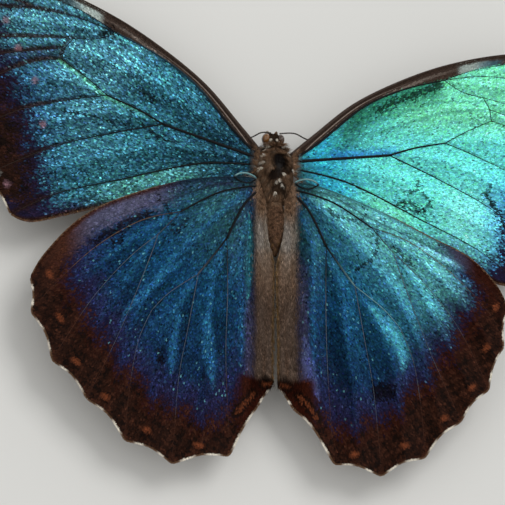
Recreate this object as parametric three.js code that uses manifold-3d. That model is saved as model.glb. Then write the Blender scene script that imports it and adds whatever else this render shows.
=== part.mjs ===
// A blue morpho butterfly, life-size, at rest with its wings held open and nearly flat.
// Millimetres. +X is the butterfly's right, +Y is forward and +Z is up. The feet stand on z = 0.
import * as THREE from 'three';
import { mergeVertices } from 'three/addons/utils/BufferGeometryUtils.js';
import Module from 'manifold-3d';

// ---------------------------------------------------------------- driving dimensions

const WING_PLANE = 7.2;          // height of the forewing hinges over the floor
const WING_THICK = 0.5;          // wing membrane
const VEIN_RISE_ROOT = 0.34;     // how far a vein stands out above the membrane near the hinge
const VEIN_RISE_TIP = 0.12;      // the same at VEIN_FADE from the hinge
const VEIN_FADE = 60;
const WING_DROOP = 0.9;          // how far a wing has sunk at WING_DROOP_AT from its hinge
const WING_DROOP_AT = 50;
const SAMPLE_STEP = 4.2;         // spacing of points along a vein
const GAP = 0.25;                // air kept between neighbouring pieces
const BODY_TURN = THREE.MathUtils.degToRad(2.5);    // head turned a little to the left of the wings

const FORE_HINGE = new THREE.Vector3(4.43, 2.69, 0);
const HIND_HINGE = new THREE.Vector3(3.94, -2.29, 0.95);   // the hindwing lies on the forewing

// sweep turns a wing forward, lift raises its tip, pitch raises its front edge; in degrees
const WING_POSES = {
  forewing_left: { sweep: 2.0, lift: 0.3, pitch: 0.2 },
  forewing_right: { sweep: -2.0, lift: 1.0, pitch: 1.3 },
  hindwing_left: { sweep: -1.9, lift: 1.9, pitch: 1.5 },
  hindwing_right: { sweep: 1.9, lift: 0.8, pitch: 0.8 },
};

// ---------------------------------------------------------------- wing patterns
//
// Each wing is drawn flat, for the right side, x outward and y forward from its hinge.
// points are forks and tips that veins share. A vein is the list of places that it runs through.
// A panel is the membrane between the veins in front of it and behind it, both taken outward.
// Its outer rim is a bay between the two vein tips, scallop times as deep as it is wide,
// or runs through the places in rim.
// Panels marked folded have a crease along their middle.

const FOREWING = {
  scallop: 0.07,
  thickEdges: ['costa', 'radialStem', 'cubitalStem'],
  points: {
    costaRoot: [-0.9, 1.5],
    stemRoot: [-1.05, 0.2],
    vannalRoot: [-1.0, -0.9],
    analRoot: [-0.8, -2.0],
    radialFork: [25.5, 20.1],
    stalkFork: [40, 22.6],
    apexFork: [47, 21.9],
    cellTop: [33, 17.9],
    cellEnd: [34.3, 15.8],
    cellCorner: [34.7, 13.6],
    cubitalFork: [26.2, 8],
    firstFork: [16, 4.1],
    radial2Tip: [44, 28.3],
    radial3Tip: [57, 26.6],
    radial4Tip: [65.8, 19.6],
    radial5Tip: [64.6, 16.4],
    median1Tip: [61.6, 12.6],
    median2Tip: [57.7, 8.4],
    median3Tip: [53.6, 3.8],
    cubital1Tip: [49.7, -2.4],
    cubital2Tip: [46, -9.8],
    anal2Tip: [41, -16.2],
  },
  veins: {
    costa: ['costaRoot', [2.4, 5.9], [9.3, 12.9], [18, 18.9], [26.6, 23.4], [36, 26.8], 'radial2Tip'],
    radialStem: ['stemRoot', [3.2, 4.7], [10.6, 12.4], [18, 17.1], 'radialFork'],
    radial2: ['radialFork', [31, 23], [37, 25.2], 'radial2Tip'],
    radialStalk: ['radialFork', [32.5, 22], 'stalkFork'],
    radial3: ['stalkFork', [48, 25], 'radial3Tip'],
    apexStalk: ['stalkFork', 'apexFork'],
    radial4: ['apexFork', [56.5, 21.4], 'radial4Tip'],
    radial5: ['apexFork', [56, 19.5], 'radial5Tip'],
    cellFront: ['radialFork', [29, 18.4], 'cellTop'],
    crossFront: ['cellEnd', 'cellTop'],
    crossBack: ['cellEnd', 'cellCorner'],
    cubitalStem: ['stemRoot', [7.2, 2.2], 'firstFork'],
    cubitalMid: ['firstFork', [20.9, 6.3], 'cubitalFork'],
    cubitalEnd: ['cubitalFork', [30.2, 10.9], 'cellCorner'],
    median1: ['cellTop', [45.7, 16.2], 'median1Tip'],
    median2: ['cellEnd', [45.6, 13], 'median2Tip'],
    median3: ['cellCorner', [40.5, 11.9], 'median3Tip'],
    cubital1: ['cubitalFork', [32.7, 6.2], [41, 3.1], 'cubital1Tip'],
    cubital2: ['firstFork', [25.4, 0.9], [35.3, -3.2], 'cubital2Tip'],
    anal2: ['vannalRoot', [9, -2.2], [22.4, -7.1], [33.1, -11.2], 'anal2Tip'],
    hindEdge: ['analRoot', [3.6, -4.7], [18, -9.6], [30.8, -14.8], [37.4, -17.1], 'anal2Tip'],
  },
  panels: [
    { front: ['costa'], back: ['radialStem', 'radial2'] },
    { front: ['radial2'], back: ['radialStalk', 'radial3'], rim: [[51, 28.3]] },
    { front: ['radial3'], back: ['apexStalk', 'radial4'], rim: [[62.2, 23.4]] },
    { front: ['radial4'], back: ['radial5'] },
    { front: ['radialStalk', 'apexStalk', 'radial5'], back: ['cellFront', 'median1'], folded: true },
    { front: ['radialStem', 'cellFront'], back: ['cubitalStem', 'cubitalMid', 'cubitalEnd'],
      across: ['crossFront', 'crossBack'], folded: true },
    { front: ['crossFront', 'median1'], back: ['median2'], folded: true },
    { front: ['median2'], back: ['crossBack', 'median3'], folded: true },
    { front: ['cubitalEnd', 'median3'], back: ['cubital1'], folded: true },
    { front: ['cubitalMid', 'cubital1'], back: ['cubital2'], folded: true },
    { front: ['cubitalStem', 'cubital2'], back: ['anal2'], folded: true },
    { front: ['anal2'], back: ['hindEdge'] },
  ],
};

const HINDWING = {
  scallop: 0.1,
  thickEdges: ['sectorStem', 'cubitalStem'],
  points: {
    costaRoot: [-0.4, 1.2],
    stemRoot: [-0.9, 0.1],
    vannalRoot: [-1.25, -0.9],
    analRoot: [-1.6, -2.1],
    sectorFork: [13.1, -6.2],
    medianFork: [17, -10.6],
    firstFork: [4.9, -10.3],
    cubitalFork: [9.9, -17.1],
    cellBend: [17.9, -24.1],
    apexTip: [38.9, -20],
    sectorTip: [38.6, -26],
    median1Tip: [34.8, -34.1],
    median2Tip: [28.7, -40.3],
    median3Tip: [22.1, -47],
    cubital1Tip: [13.9, -50.5],
    cubital2Tip: [4, -48.6],
    anal2Tip: [-1.1, -39.5],
    analAngle: [-3.7, -35.7],
  },
  veins: {
    costa: ['costaRoot', [4.3, 1], [13.2, -0.6], [23.7, -4.6], [30.8, -9], [36.4, -15.4], 'apexTip'],
    subcosta: ['stemRoot', [5.5, -0.3], [13, -3.2], [24, -7.8], [32, -12.8], 'apexTip'],
    sectorStem: ['stemRoot', [6.1, -2], 'sectorFork'],
    sector: ['sectorFork', [20.1, -8.4], [27.8, -13.7], [34.6, -20.8], 'sectorTip'],
    medianStem: ['sectorFork', 'medianFork'],
    median1: ['medianFork', [22.2, -15.4], [28.4, -23.2], 'median1Tip'],
    median2: ['medianFork', [18.6, -15.5], [23.4, -28.4], 'median2Tip'],
    cubitalStem: ['stemRoot', [1.9, -4], 'firstFork'],
    cubitalMid: ['firstFork', [7.2, -13.5], 'cubitalFork'],
    cubitalEnd: ['cubitalFork', [14.9, -20.8], 'cellBend'],
    median3: ['cellBend', [20.1, -29.6], [21.4, -37.6], 'median3Tip'],
    cubital1: ['cubitalFork', [11.6, -27], [13.1, -36.2], 'cubital1Tip'],
    cubital2: ['firstFork', [4.7, -20], [4.9, -32], 'cubital2Tip'],
    anal2: ['vannalRoot', [-0.4, -9], [-0.5, -22], 'anal2Tip'],
    innerEdge: ['analRoot', [-1.8, -9.8], [-3.75, -16], [-3.5, -28], 'analAngle'],
  },
  panels: [
    { front: ['costa'], back: ['subcosta'] },
    { front: ['subcosta'], back: ['sectorStem', 'sector'] },
    { front: ['sector'], back: ['medianStem', 'median1'], folded: true },
    { front: ['median1'], back: ['median2'], folded: true },
    { front: ['sectorStem', 'medianStem', 'median2'],
      back: ['cubitalStem', 'cubitalMid', 'cubitalEnd', 'median3'], folded: true },
    { front: ['cubitalEnd', 'median3'], back: ['cubital1'], folded: true },
    { front: ['cubitalMid', 'cubital1'], back: ['cubital2'], folded: true },
    { front: ['cubitalStem', 'cubital2'], back: ['anal2'], folded: true },
    { front: ['anal2'], back: ['innerEdge'] },
  ],
};

// The right hindwing's front edge is rolled under, so that it looks narrower there from above,
// and its outer margin has grown a little differently.
const HINDWING_ROLLED = {
  ...HINDWING,
  points: {
    ...HINDWING.points,
    apexTip: [37.9, -19.3],
    sectorTip: [37, -26.3],
    median1Tip: [34, -34.3],
    cubital1Tip: [14.3, -50.6],
    cubital2Tip: [5.9, -48.9],
  },
  veins: {
    ...HINDWING.veins,
    costa: ['costaRoot', [4.3, 0.6], [14.8, -3], [23.8, -7], [31, -10.3], [35.8, -15], 'apexTip'],
    subcosta: ['stemRoot', [5.5, -0.7], [13, -4.5], [24, -9.1], [32, -13.8], 'apexTip'],
  },
};

// A hindwing's inner part bends down beside the abdomen.
const INNER_FOLD = { from: 1.4, to: -2.2, drop: 0.9 };

// ---------------------------------------------------------------- body
//
// A body piece is a run of cross sections: [y, half width, top, bottom], z from the wing plane.

const SECTION_SIDES = 16;
const BODY_SECTIONS = {
  head: [
    [6.1, 0.7, -0.1, -2.0], [6.5, 1.25, 0.2, -2.4], [7.2, 1.5, 0.3, -2.6],
    [7.9, 1.3, 0.1, -2.4], [8.4, 0.8, -0.4, -1.9],
  ],
  prothorax: [
    [4.95, 1.5, 0.7, -2.4], [5.3, 1.7, 0.9, -2.6], [5.7, 1.2, 0.4, -2.1],
  ],
  thorax: [
    [4.65, 1.8, 1.0, -2.6], [4.0, 2.5, 1.6, -3.5], [2.8, 3.0, 2.1, -4.3],
    [1.2, 3.15, 2.4, -4.8], [-0.6, 3.05, 2.3, -4.8], [-2.1, 2.6, 1.9, -4.4],
    [-3.3, 1.95, 1.3, -3.7], [-4.0, 1.3, 0.7, -3.0],
  ],
};
const ABDOMEN = {
  front: -4.3, back: -13.9, segments: 8, halfWidth: 1.78, halfHeight: 2.15,
  frontAxis: -1.3, backAxis: -1.9, waist: 0.06,
};
const EYE = { place: [1.28, 7.35, -1.05], size: [0.78, 0.98, 1.12] };

// Limbs are runs of [x, y, z, radius] on the right side, z over the floor.
const PALP = [
  [0.85, 8.1, 4.9, 0.25], [0.87, 8.65, 4.85, 0.33], [0.85, 9.0, 5.15, 0.33], [0.8, 9.05, 5.65, 0.25],
];
const FORELEG = [
  [1.2, 3.7, 3.3, 0.25], [1.8, 6.1, 3.35, 0.3], [2.0, 7.0, 2.9, 0.27],
  [1.9, 6.6, 2.05, 0.25], [1.6, 4.8, 1.6, 0.25],
];
const MIDLEG = [
  [1.2, 1.2, 2.0, 0.5], [2.2, 1.7, 2.15, 0.42], [7.0, 3.6, 4.5, 0.38], [11.6, 7.3, 0.85, 0.3],
  [12.6, 8.0, 0.26, 0.28], [14.3, 9.1, 0.2, 0.28], [15.9, 10.1, 0.2, 0.26],
];
const HINDLEG = [
  [1.1, -1.7, 2.0, 0.5], [2.0, -2.5, 2.15, 0.42], [5.8, -6.6, 4.4, 0.38], [9.0, -13.2, 0.85, 0.3],
  [9.5, -14.4, 0.26, 0.28], [10.3, -16.3, 0.2, 0.28], [11.0, -18.1, 0.2, 0.26],
];
const ANTENNA_RIGHT = [
  [0.75, 7.8, 7.95, 0.25], [3.6, 8.2, 7.5, 0.25], [6.6, 7.7, 6.2, 0.25], [11.0, 8.3, 5.0, 0.25],
  [16.5, 10.8, 4.3, 0.25], [20.5, 13.6, 4.0, 0.32], [22.6, 15.5, 3.9, 0.36], [23.8, 16.7, 3.9, 0.26],
];
const ANTENNA_LEFT = [
  [0.75, 7.8, 7.85, 0.25], [2.3, 8.1, 7.1, 0.25], [5.0, 7.3, 5.6, 0.25], [10.4, 8.0, 4.6, 0.25],
  [16.0, 10.2, 4.1, 0.25], [20.2, 12.8, 3.9, 0.32], [22.4, 14.6, 3.8, 0.36], [23.6, 15.8, 3.8, 0.26],
];
const LIMB_SIDES = 6;
const PROBOSCIS = { centre: [8.35, 3.6], radius: 1.25, innerRadius: 0.45, turns: 1.5, wire: 0.25, steps: 26 };

// ---------------------------------------------------------------- materials

const finish = (color, roughness, metalness = 0) =>
  new THREE.MeshStandardMaterial({ color, roughness, metalness });

const MATERIALS = {
  forewing: finish(0x1d8fb8, 0.38, 0.35),
  hindwing: finish(0x1b5fae, 0.42, 0.3),
  fur: finish(0x4a3a2c, 0.95),
  abdomen: finish(0x5c4a38, 0.9),
  eye: finish(0x6b3417, 0.25),
  chitin: finish(0x241a14, 0.5),
};

// ---------------------------------------------------------------- meshes from points

// A closed mesh, its faces turned outward whichever way round they were listed.
function solidGeometry(vertices, triangles) {
  const at = (i) => new THREE.Vector3(...vertices[i]);
  const volume = triangles.reduce((sum, [a, b, c]) => sum + at(a).dot(at(b).cross(at(c))), 0);
  const outward = volume > 0 ? triangles : triangles.map(([a, b, c]) => [a, c, b]);
  const geometry = new THREE.BufferGeometry();
  geometry.setAttribute('position', new THREE.Float32BufferAttribute(vertices.flat(), 3));
  geometry.setIndex(outward.flat());
  return geometry;
}

// Rings of points joined into a closed skin, with a fan on the centre of each end ring.
function skinRings(rings) {
  const sides = rings[0].length;
  const vertices = rings.flat().map((p) => p.toArray());
  const triangles = [];
  for (let r = 0; r + 1 < rings.length; r += 1) {
    for (let s = 0; s < sides; s += 1) {
      const a = r * sides + s;
      const b = r * sides + (s + 1) % sides;
      triangles.push([a, b, b + sides], [a, b + sides, a + sides]);
    }
  }
  const centreOf = (ring) =>
    ring.reduce((sum, p) => sum.add(p), new THREE.Vector3()).divideScalar(sides).toArray();
  const start = vertices.push(centreOf(rings[0])) - 1;
  const end = vertices.push(centreOf(rings.at(-1))) - 1;
  const last = (rings.length - 1) * sides;
  for (let s = 0; s < sides; s += 1) {
    const next = (s + 1) % sides;
    triangles.push([start, next, s], [end, last + s, last + next]);
  }
  return solidGeometry(vertices, triangles);
}

// ---------------------------------------------------------------- wings

function wingHeight(x, y, wing) {
  let z = -WING_DROOP * (x * x + y * y) / (WING_DROOP_AT * WING_DROOP_AT);
  if (wing !== FOREWING) {
    const inward = THREE.MathUtils.smoothstep(INNER_FOLD.from - x, 0, INNER_FOLD.from - INNER_FOLD.to);
    z -= INNER_FOLD.drop * inward;
  }
  return z;
}

function samplePlaces(places, wing) {
  const controls = places.map((place) => {
    const [x, y] = typeof place === 'string' ? wing.points[place] : place;
    return new THREE.Vector2(x, y);
  });
  const curve = new THREE.SplineCurve(controls);
  const count = Math.max(1, Math.round(curve.getLength() / SAMPLE_STEP));
  const points = curve.getSpacedPoints(count);
  points[0].copy(controls[0]);
  points[count].copy(controls.at(-1));
  return points;
}

const joinRuns = (runs) => runs.flatMap((run, i) => (i === 0 ? run : run.slice(1)));

// The bay between two vein tips, pulled in towards the hinge.
function bayBetween(tipA, tipB, scallop) {
  const middle = tipA.clone().lerp(tipB, 0.5);
  const inward = middle.clone().normalize().multiplyScalar(-scallop * tipA.distanceTo(tipB));
  const steps = [0, 0.25, 0.5, 0.75, 1];
  return steps.map((t) => {
    const depth = Math.sin(Math.PI * t);
    return tipA.clone().lerp(tipB, t).addScaledVector(inward, depth);
  });
}

const pointAlong = (run, t) => {
  const place = t * (run.length - 1);
  const i = Math.min(Math.floor(place), run.length - 2);
  return run[i].clone().lerp(run[i + 1], place - i);
};

// One panel as strips between two runs of points, the front run first. A fold makes two strips.
function panelStrips(panel, wing, runs) {
  const front = joinRuns(panel.front.map((name) => runs[name]));
  const back = joinRuns(panel.back.map((name) => runs[name]));
  let rim = [front.at(-1)];
  if (panel.across) {
    rim = joinRuns([runs[panel.across[0]].toReversed(), runs[panel.across[1]]]);
  } else if (panel.rim) {
    rim = samplePlaces([front.at(-1).toArray(), ...panel.rim, back.at(-1).toArray()], wing);
  } else if (front.at(-1).distanceTo(back.at(-1)) > 0.01) {
    rim = bayBetween(front.at(-1), back.at(-1), wing.scallop);
  }
  if (!panel.folded) {
    return [[joinRuns([front, rim]), back]];
  }
  const half = panel.across ? runs[panel.across[0]].length - 1 : (rim.length - 1) / 2;
  const count = Math.max(front.length, back.length);
  const fold = [front[0]];
  for (let i = 1; i < count - 1; i += 1) {
    const t = i / (count - 1);
    fold.push(pointAlong(front, t).lerp(pointAlong(back, t), 0.5));
  }
  fold.push(rim[half]);
  return [
    [joinRuns([front, rim.slice(0, half + 1)]), fold],
    [fold, joinRuns([back, rim.slice(half).toReversed()])],
  ];
}

// Triangles across a strip, each step taken on the side that gives the shorter crossing.
function stripFaces(front, back) {
  const faces = [];
  let i = 0;
  let j = 0;
  while (i < front.length - 1 || j < back.length - 1) {
    const canFront = i < front.length - 1;
    const canBack = j < back.length - 1;
    const stepFront = canFront
      && (!canBack || front[i + 1].distanceTo(back[j]) <= front[i].distanceTo(back[j + 1]));
    faces.push([front[i], back[j], stepFront ? front[i + 1] : back[j + 1]]);
    if (stepFront) {
      i += 1;
    } else {
      j += 1;
    }
  }
  return faces;
}

// Neighbouring panels share their points exactly, so the top, the underside and the rim close up.
function wingGeometry(wing, mirrored) {
  const runs = {};
  const rise = new Map();
  const keyOf = (p) => `${p.x.toFixed(3)},${p.y.toFixed(3)}`;
  for (const [name, places] of Object.entries(wing.veins)) {
    runs[name] = samplePlaces(places, wing);
    const isBareEdge = name.endsWith('Edge');
    const thick = wing.thickEdges.includes(name) ? 1.35 : 1;
    for (const p of runs[name]) {
      const fade = Math.min(1, p.length() / VEIN_FADE);
      const height = isBareEdge ? 0 : thick * THREE.MathUtils.lerp(VEIN_RISE_ROOT, VEIN_RISE_TIP, fade);
      rise.set(keyOf(p), Math.max(height, rise.get(keyOf(p)) ?? 0));
    }
  }
  const indexOf = new Map();
  const top = [];
  const under = [];
  const vertexAt = (p) => {
    const key = keyOf(p);
    if (!indexOf.has(key)) {
      const z = wingHeight(p.x, p.y, wing);
      const lift = rise.get(key) ?? 0;
      const x = mirrored ? -p.x : p.x;
      indexOf.set(key, top.length);
      top.push([x, p.y, z + WING_THICK / 2 + lift]);
      under.push([x, p.y, z - WING_THICK / 2 - lift / 2]);
    }
    return indexOf.get(key);
  };
  const faces = [];
  for (const panel of wing.panels) {
    for (const [front, back] of panelStrips(panel, wing, runs)) {
      for (const face of stripFaces(front, back).map((corners) => corners.map(vertexAt))) {
        if (new Set(face).size === 3) {
          faces.push(face);
        }
      }
    }
  }
  const count = top.length;
  const triangles = faces.flatMap(([a, b, c]) => [[a, b, c], [a + count, c + count, b + count]]);
  const directed = new Set(faces.flatMap(([a, b, c]) => [`${a},${b}`, `${b},${c}`, `${c},${a}`]));
  for (const edge of directed) {
    const [a, b] = edge.split(',').map(Number);
    if (!directed.has(`${b},${a}`)) {
      triangles.push([b, a, a + count], [b, a + count, b + count]);
    }
  }
  return solidGeometry([...top, ...under], triangles);
}

function makeWing(name, wing, hinge, material) {
  const mirrored = name.endsWith('left');
  const side = mirrored ? -1 : 1;
  const { sweep, lift, pitch } = WING_POSES[name];
  const radians = THREE.MathUtils.degToRad;
  const mesh = new THREE.Mesh(wingGeometry(wing, mirrored), material);
  mesh.name = name;
  mesh.position.set(side * hinge.x, hinge.y, WING_PLANE + hinge.z);
  mesh.rotation.set(radians(pitch), -side * radians(lift), side * radians(sweep), 'YXZ');
  return mesh;
}

// ---------------------------------------------------------------- body pieces

// A rounded section of a body piece: flatter on top than below.
function sectionRing([y, halfWidth, top, bottom]) {
  const ring = [];
  for (let s = 0; s < SECTION_SIDES; s += 1) {
    const angle = 2 * Math.PI * s / SECTION_SIDES;
    const middle = bottom + 0.58 * (top - bottom);
    const reach = Math.sin(angle) > 0 ? top - middle : middle - bottom;
    ring.push(new THREE.Vector3(
      halfWidth * Math.cos(angle), y, WING_PLANE + middle + reach * Math.sin(angle)));
  }
  return ring;
}

function loftSections(sections) {
  const backToFront = sections.toSorted((a, b) => b[0] - a[0]);
  return skinRings(backToFront.map(sectionRing));
}

function abdomenSections() {
  const { front, back, segments, halfWidth, halfHeight, frontAxis, backAxis, waist } = ABDOMEN;
  const sections = [];
  const steps = segments * 2;
  for (let i = 0; i <= steps; i += 1) {
    const t = i / steps;
    const fullness = Math.pow(Math.sin(Math.PI * (0.14 + 0.83 * t)), 0.62) * (1 - 0.3 * t * t);
    const pinch = i % 2 === 0 ? 1 - waist : 1;
    const axis = THREE.MathUtils.lerp(frontAxis, backAxis, t * t);
    const reach = halfHeight * fullness * pinch;
    sections.push([
      THREE.MathUtils.lerp(front, back, t), halfWidth * fullness * pinch,
      axis + reach, axis - reach,
    ]);
  }
  return sections;
}

function ellipsoid([x, y, z], [rx, ry, rz], across = 16, down = 12) {
  const geometry = new THREE.SphereGeometry(1, across, down);
  geometry.rotateZ(Math.PI / 2);
  geometry.scale(rx, ry, rz);
  geometry.translate(x, y, z);
  return geometry;
}

// ---------------------------------------------------------------- limbs and feelers

// A bent tube of changing radius. Its sections are mitred at each joint and lie flat on the floor.
// Where a limb folds back, its sections keep the same side, so that the tube isn't twisted.
function limbGeometry(run, side) {
  const places = run.map(([x, y, z]) => new THREE.Vector3(side * x, y, z));
  let lastAcross = null;
  const rings = places.map((place, i) => {
    const into = place.clone().sub(places[Math.max(i - 1, 0)]).normalize();
    const out = places[Math.min(i + 1, places.length - 1)].clone().sub(place).normalize();
    const along = into.clone().add(out).normalize();
    const across = new THREE.Vector3(along.y, -along.x, 0).normalize();
    if (lastAcross && across.dot(lastAcross) < 0) {
      across.negate();
    }
    lastAcross = across;
    const upward = across.clone().cross(along).normalize();
    const mitre = 1 / Math.max(0.75, along.dot(i === 0 ? out : into));
    const ring = [];
    for (let s = 0; s < LIMB_SIDES; s += 1) {
      const angle = 2 * Math.PI * s / LIMB_SIDES;
      const radius = run[i][3];
      const p = place.clone()
        .addScaledVector(across, radius * Math.cos(angle))
        .addScaledVector(upward, mitre * radius * Math.sin(angle));
      p.z = Math.max(p.z, 0);
      ring.push(p);
    }
    return ring;
  });
  return skinRings(rings);
}

// A feeler follows a smooth curve through its places.
function feelerGeometry(run, side, steps) {
  const curve = new THREE.CatmullRomCurve3(run.map(([x, y, z]) => new THREE.Vector3(x, y, z)));
  const fine = [];
  for (let i = 0; i <= steps; i += 1) {
    const t = i / steps;
    const at = curve.getPoint(t);
    const place = t * (run.length - 1);
    const k = Math.min(Math.floor(place), run.length - 2);
    const radius = THREE.MathUtils.lerp(run[k][3], run[k + 1][3], place - k);
    fine.push([at.x, at.y, at.z, radius]);
  }
  return limbGeometry(fine, side);
}

// The tongue, wound up like a watch spring under the head.
function proboscisGeometry() {
  const { centre, radius, innerRadius, turns, wire, steps } = PROBOSCIS;
  const spiral = new THREE.Curve();
  spiral.getPoint = (t, target = new THREE.Vector3()) => {
    const angle = Math.PI * 0.62 - 2 * Math.PI * turns * t;
    const reach = THREE.MathUtils.lerp(radius, innerRadius, t);
    return target.set(0, centre[0] + reach * Math.cos(angle), centre[1] + reach * Math.sin(angle));
  };
  const section = new THREE.Shape();
  section.absarc(0, 0, wire, 0, 2 * Math.PI);
  return new THREE.ExtrudeGeometry(section, { steps, extrudePath: spiral, curveSegments: 3 });
}

// ---------------------------------------------------------------- cutting

const wasm = await Module();
wasm.setup();

function toSolid(geometry) {
  const bare = geometry.clone();
  bare.deleteAttribute('normal');
  bare.deleteAttribute('uv');
  const merged = mergeVertices(bare, 1e-4);
  return new wasm.Manifold(new wasm.Mesh({
    numProp: 3,
    vertProperties: new Float32Array(merged.attributes.position.array),
    triVerts: new Uint32Array(merged.index.array),
  }));
}

function toGeometry(solid) {
  const { vertProperties, triVerts } = solid.getMesh();
  const geometry = new THREE.BufferGeometry();
  geometry.setAttribute('position', new THREE.BufferAttribute(vertProperties, 3));
  geometry.setIndex(new THREE.BufferAttribute(triVerts, 1));
  return geometry;
}

// ---------------------------------------------------------------- the butterfly

const butterfly = new THREE.Group();
const body = new THREE.Group();
body.rotation.z = BODY_TURN;
butterfly.add(body);

function addMesh(parent, name, geometry, material) {
  const mesh = new THREE.Mesh(geometry, material);
  mesh.name = name;
  parent.add(mesh);
}

const eyePlace = (side, [x, y, z]) => [side * x, y, WING_PLANE + z];
const grown = (size) => size.map((r) => r + GAP);

let head = toSolid(loftSections(BODY_SECTIONS.head));
for (const side of [-1, 1]) {
  head = head.subtract(toSolid(ellipsoid(eyePlace(side, EYE.place), grown(EYE.size))));
}
addMesh(body, 'head', toGeometry(head), MATERIALS.fur);
addMesh(body, 'prothorax', loftSections(BODY_SECTIONS.prothorax), MATERIALS.fur);
addMesh(body, 'thorax', loftSections(BODY_SECTIONS.thorax), MATERIALS.fur);
addMesh(body, 'abdomen', loftSections(abdomenSections()), MATERIALS.abdomen);
addMesh(body, 'proboscis', proboscisGeometry(), MATERIALS.chitin);

const ANTENNA_RUNS = { left: ANTENNA_LEFT, right: ANTENNA_RIGHT };
const ANTENNA_STEPS = 22;
for (const [sideName, side] of [['left', -1], ['right', 1]]) {
  addMesh(body, `eye_${sideName}`, ellipsoid(eyePlace(side, EYE.place), EYE.size), MATERIALS.eye);
  addMesh(body, `palp_${sideName}`, limbGeometry(PALP, side), MATERIALS.fur);
  addMesh(body, `foreleg_${sideName}`, limbGeometry(FORELEG, side), MATERIALS.chitin);
  addMesh(body, `midleg_${sideName}`, limbGeometry(MIDLEG, side), MATERIALS.chitin);
  addMesh(body, `hindleg_${sideName}`, limbGeometry(HINDLEG, side), MATERIALS.chitin);
  const antenna = feelerGeometry(ANTENNA_RUNS[sideName], side, ANTENNA_STEPS);
  addMesh(body, `antenna_${sideName}`, antenna, MATERIALS.chitin);
  butterfly.add(makeWing(`forewing_${sideName}`, FOREWING, FORE_HINGE, MATERIALS.forewing));
  const hindwing = side > 0 ? HINDWING_ROLLED : HINDWING;
  butterfly.add(makeWing(`hindwing_${sideName}`, hindwing, HIND_HINGE, MATERIALS.hindwing));
}

// The origin is on the floor, under the middle of the whole butterfly.
butterfly.updateMatrixWorld(true);
const reach = new THREE.Box3().setFromObject(butterfly, true);
const middle = reach.getCenter(new THREE.Vector3());
const group = new THREE.Group();
butterfly.position.set(-middle.x, -middle.y, -reach.min.z);
group.add(butterfly);

export default group;
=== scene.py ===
import math

import bmesh
import bpy
import numpy as np
from mathutils import Matrix, Vector
from mathutils.geometry import delaunay_2d_cdt
from mathutils.kdtree import KDTree


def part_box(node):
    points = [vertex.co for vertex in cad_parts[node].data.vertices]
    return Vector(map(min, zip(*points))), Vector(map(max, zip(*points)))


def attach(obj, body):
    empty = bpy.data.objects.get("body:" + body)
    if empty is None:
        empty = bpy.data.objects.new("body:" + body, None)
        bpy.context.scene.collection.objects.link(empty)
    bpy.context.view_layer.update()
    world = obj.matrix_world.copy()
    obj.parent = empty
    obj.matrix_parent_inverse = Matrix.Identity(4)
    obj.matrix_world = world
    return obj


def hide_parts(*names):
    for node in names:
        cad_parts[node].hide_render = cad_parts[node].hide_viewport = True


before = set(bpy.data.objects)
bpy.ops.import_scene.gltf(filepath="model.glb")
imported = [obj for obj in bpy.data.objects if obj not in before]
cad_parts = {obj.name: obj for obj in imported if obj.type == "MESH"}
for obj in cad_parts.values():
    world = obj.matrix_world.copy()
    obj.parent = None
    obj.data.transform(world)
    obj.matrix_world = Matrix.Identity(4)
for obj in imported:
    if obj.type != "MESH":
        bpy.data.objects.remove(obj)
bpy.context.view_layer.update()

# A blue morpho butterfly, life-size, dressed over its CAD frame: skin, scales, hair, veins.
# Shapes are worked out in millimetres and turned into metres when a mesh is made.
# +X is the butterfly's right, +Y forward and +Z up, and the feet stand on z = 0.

MM = 0.001
CHANCE = np.random.default_rng(20)

# ---------------------------------------------------------------- wing patterns
#
# Each wing is drawn flat, for the right side, x outward and y forward from its hinge, in mm.
# points are forks and tips that veins share. A vein is the places that it runs through.
# margin is the outer edge from the front tip to the hind one: each stretch from tip to tip is a
# bay, unless it names a place of its own. creases are the folds half way between two vein runs.

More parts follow.
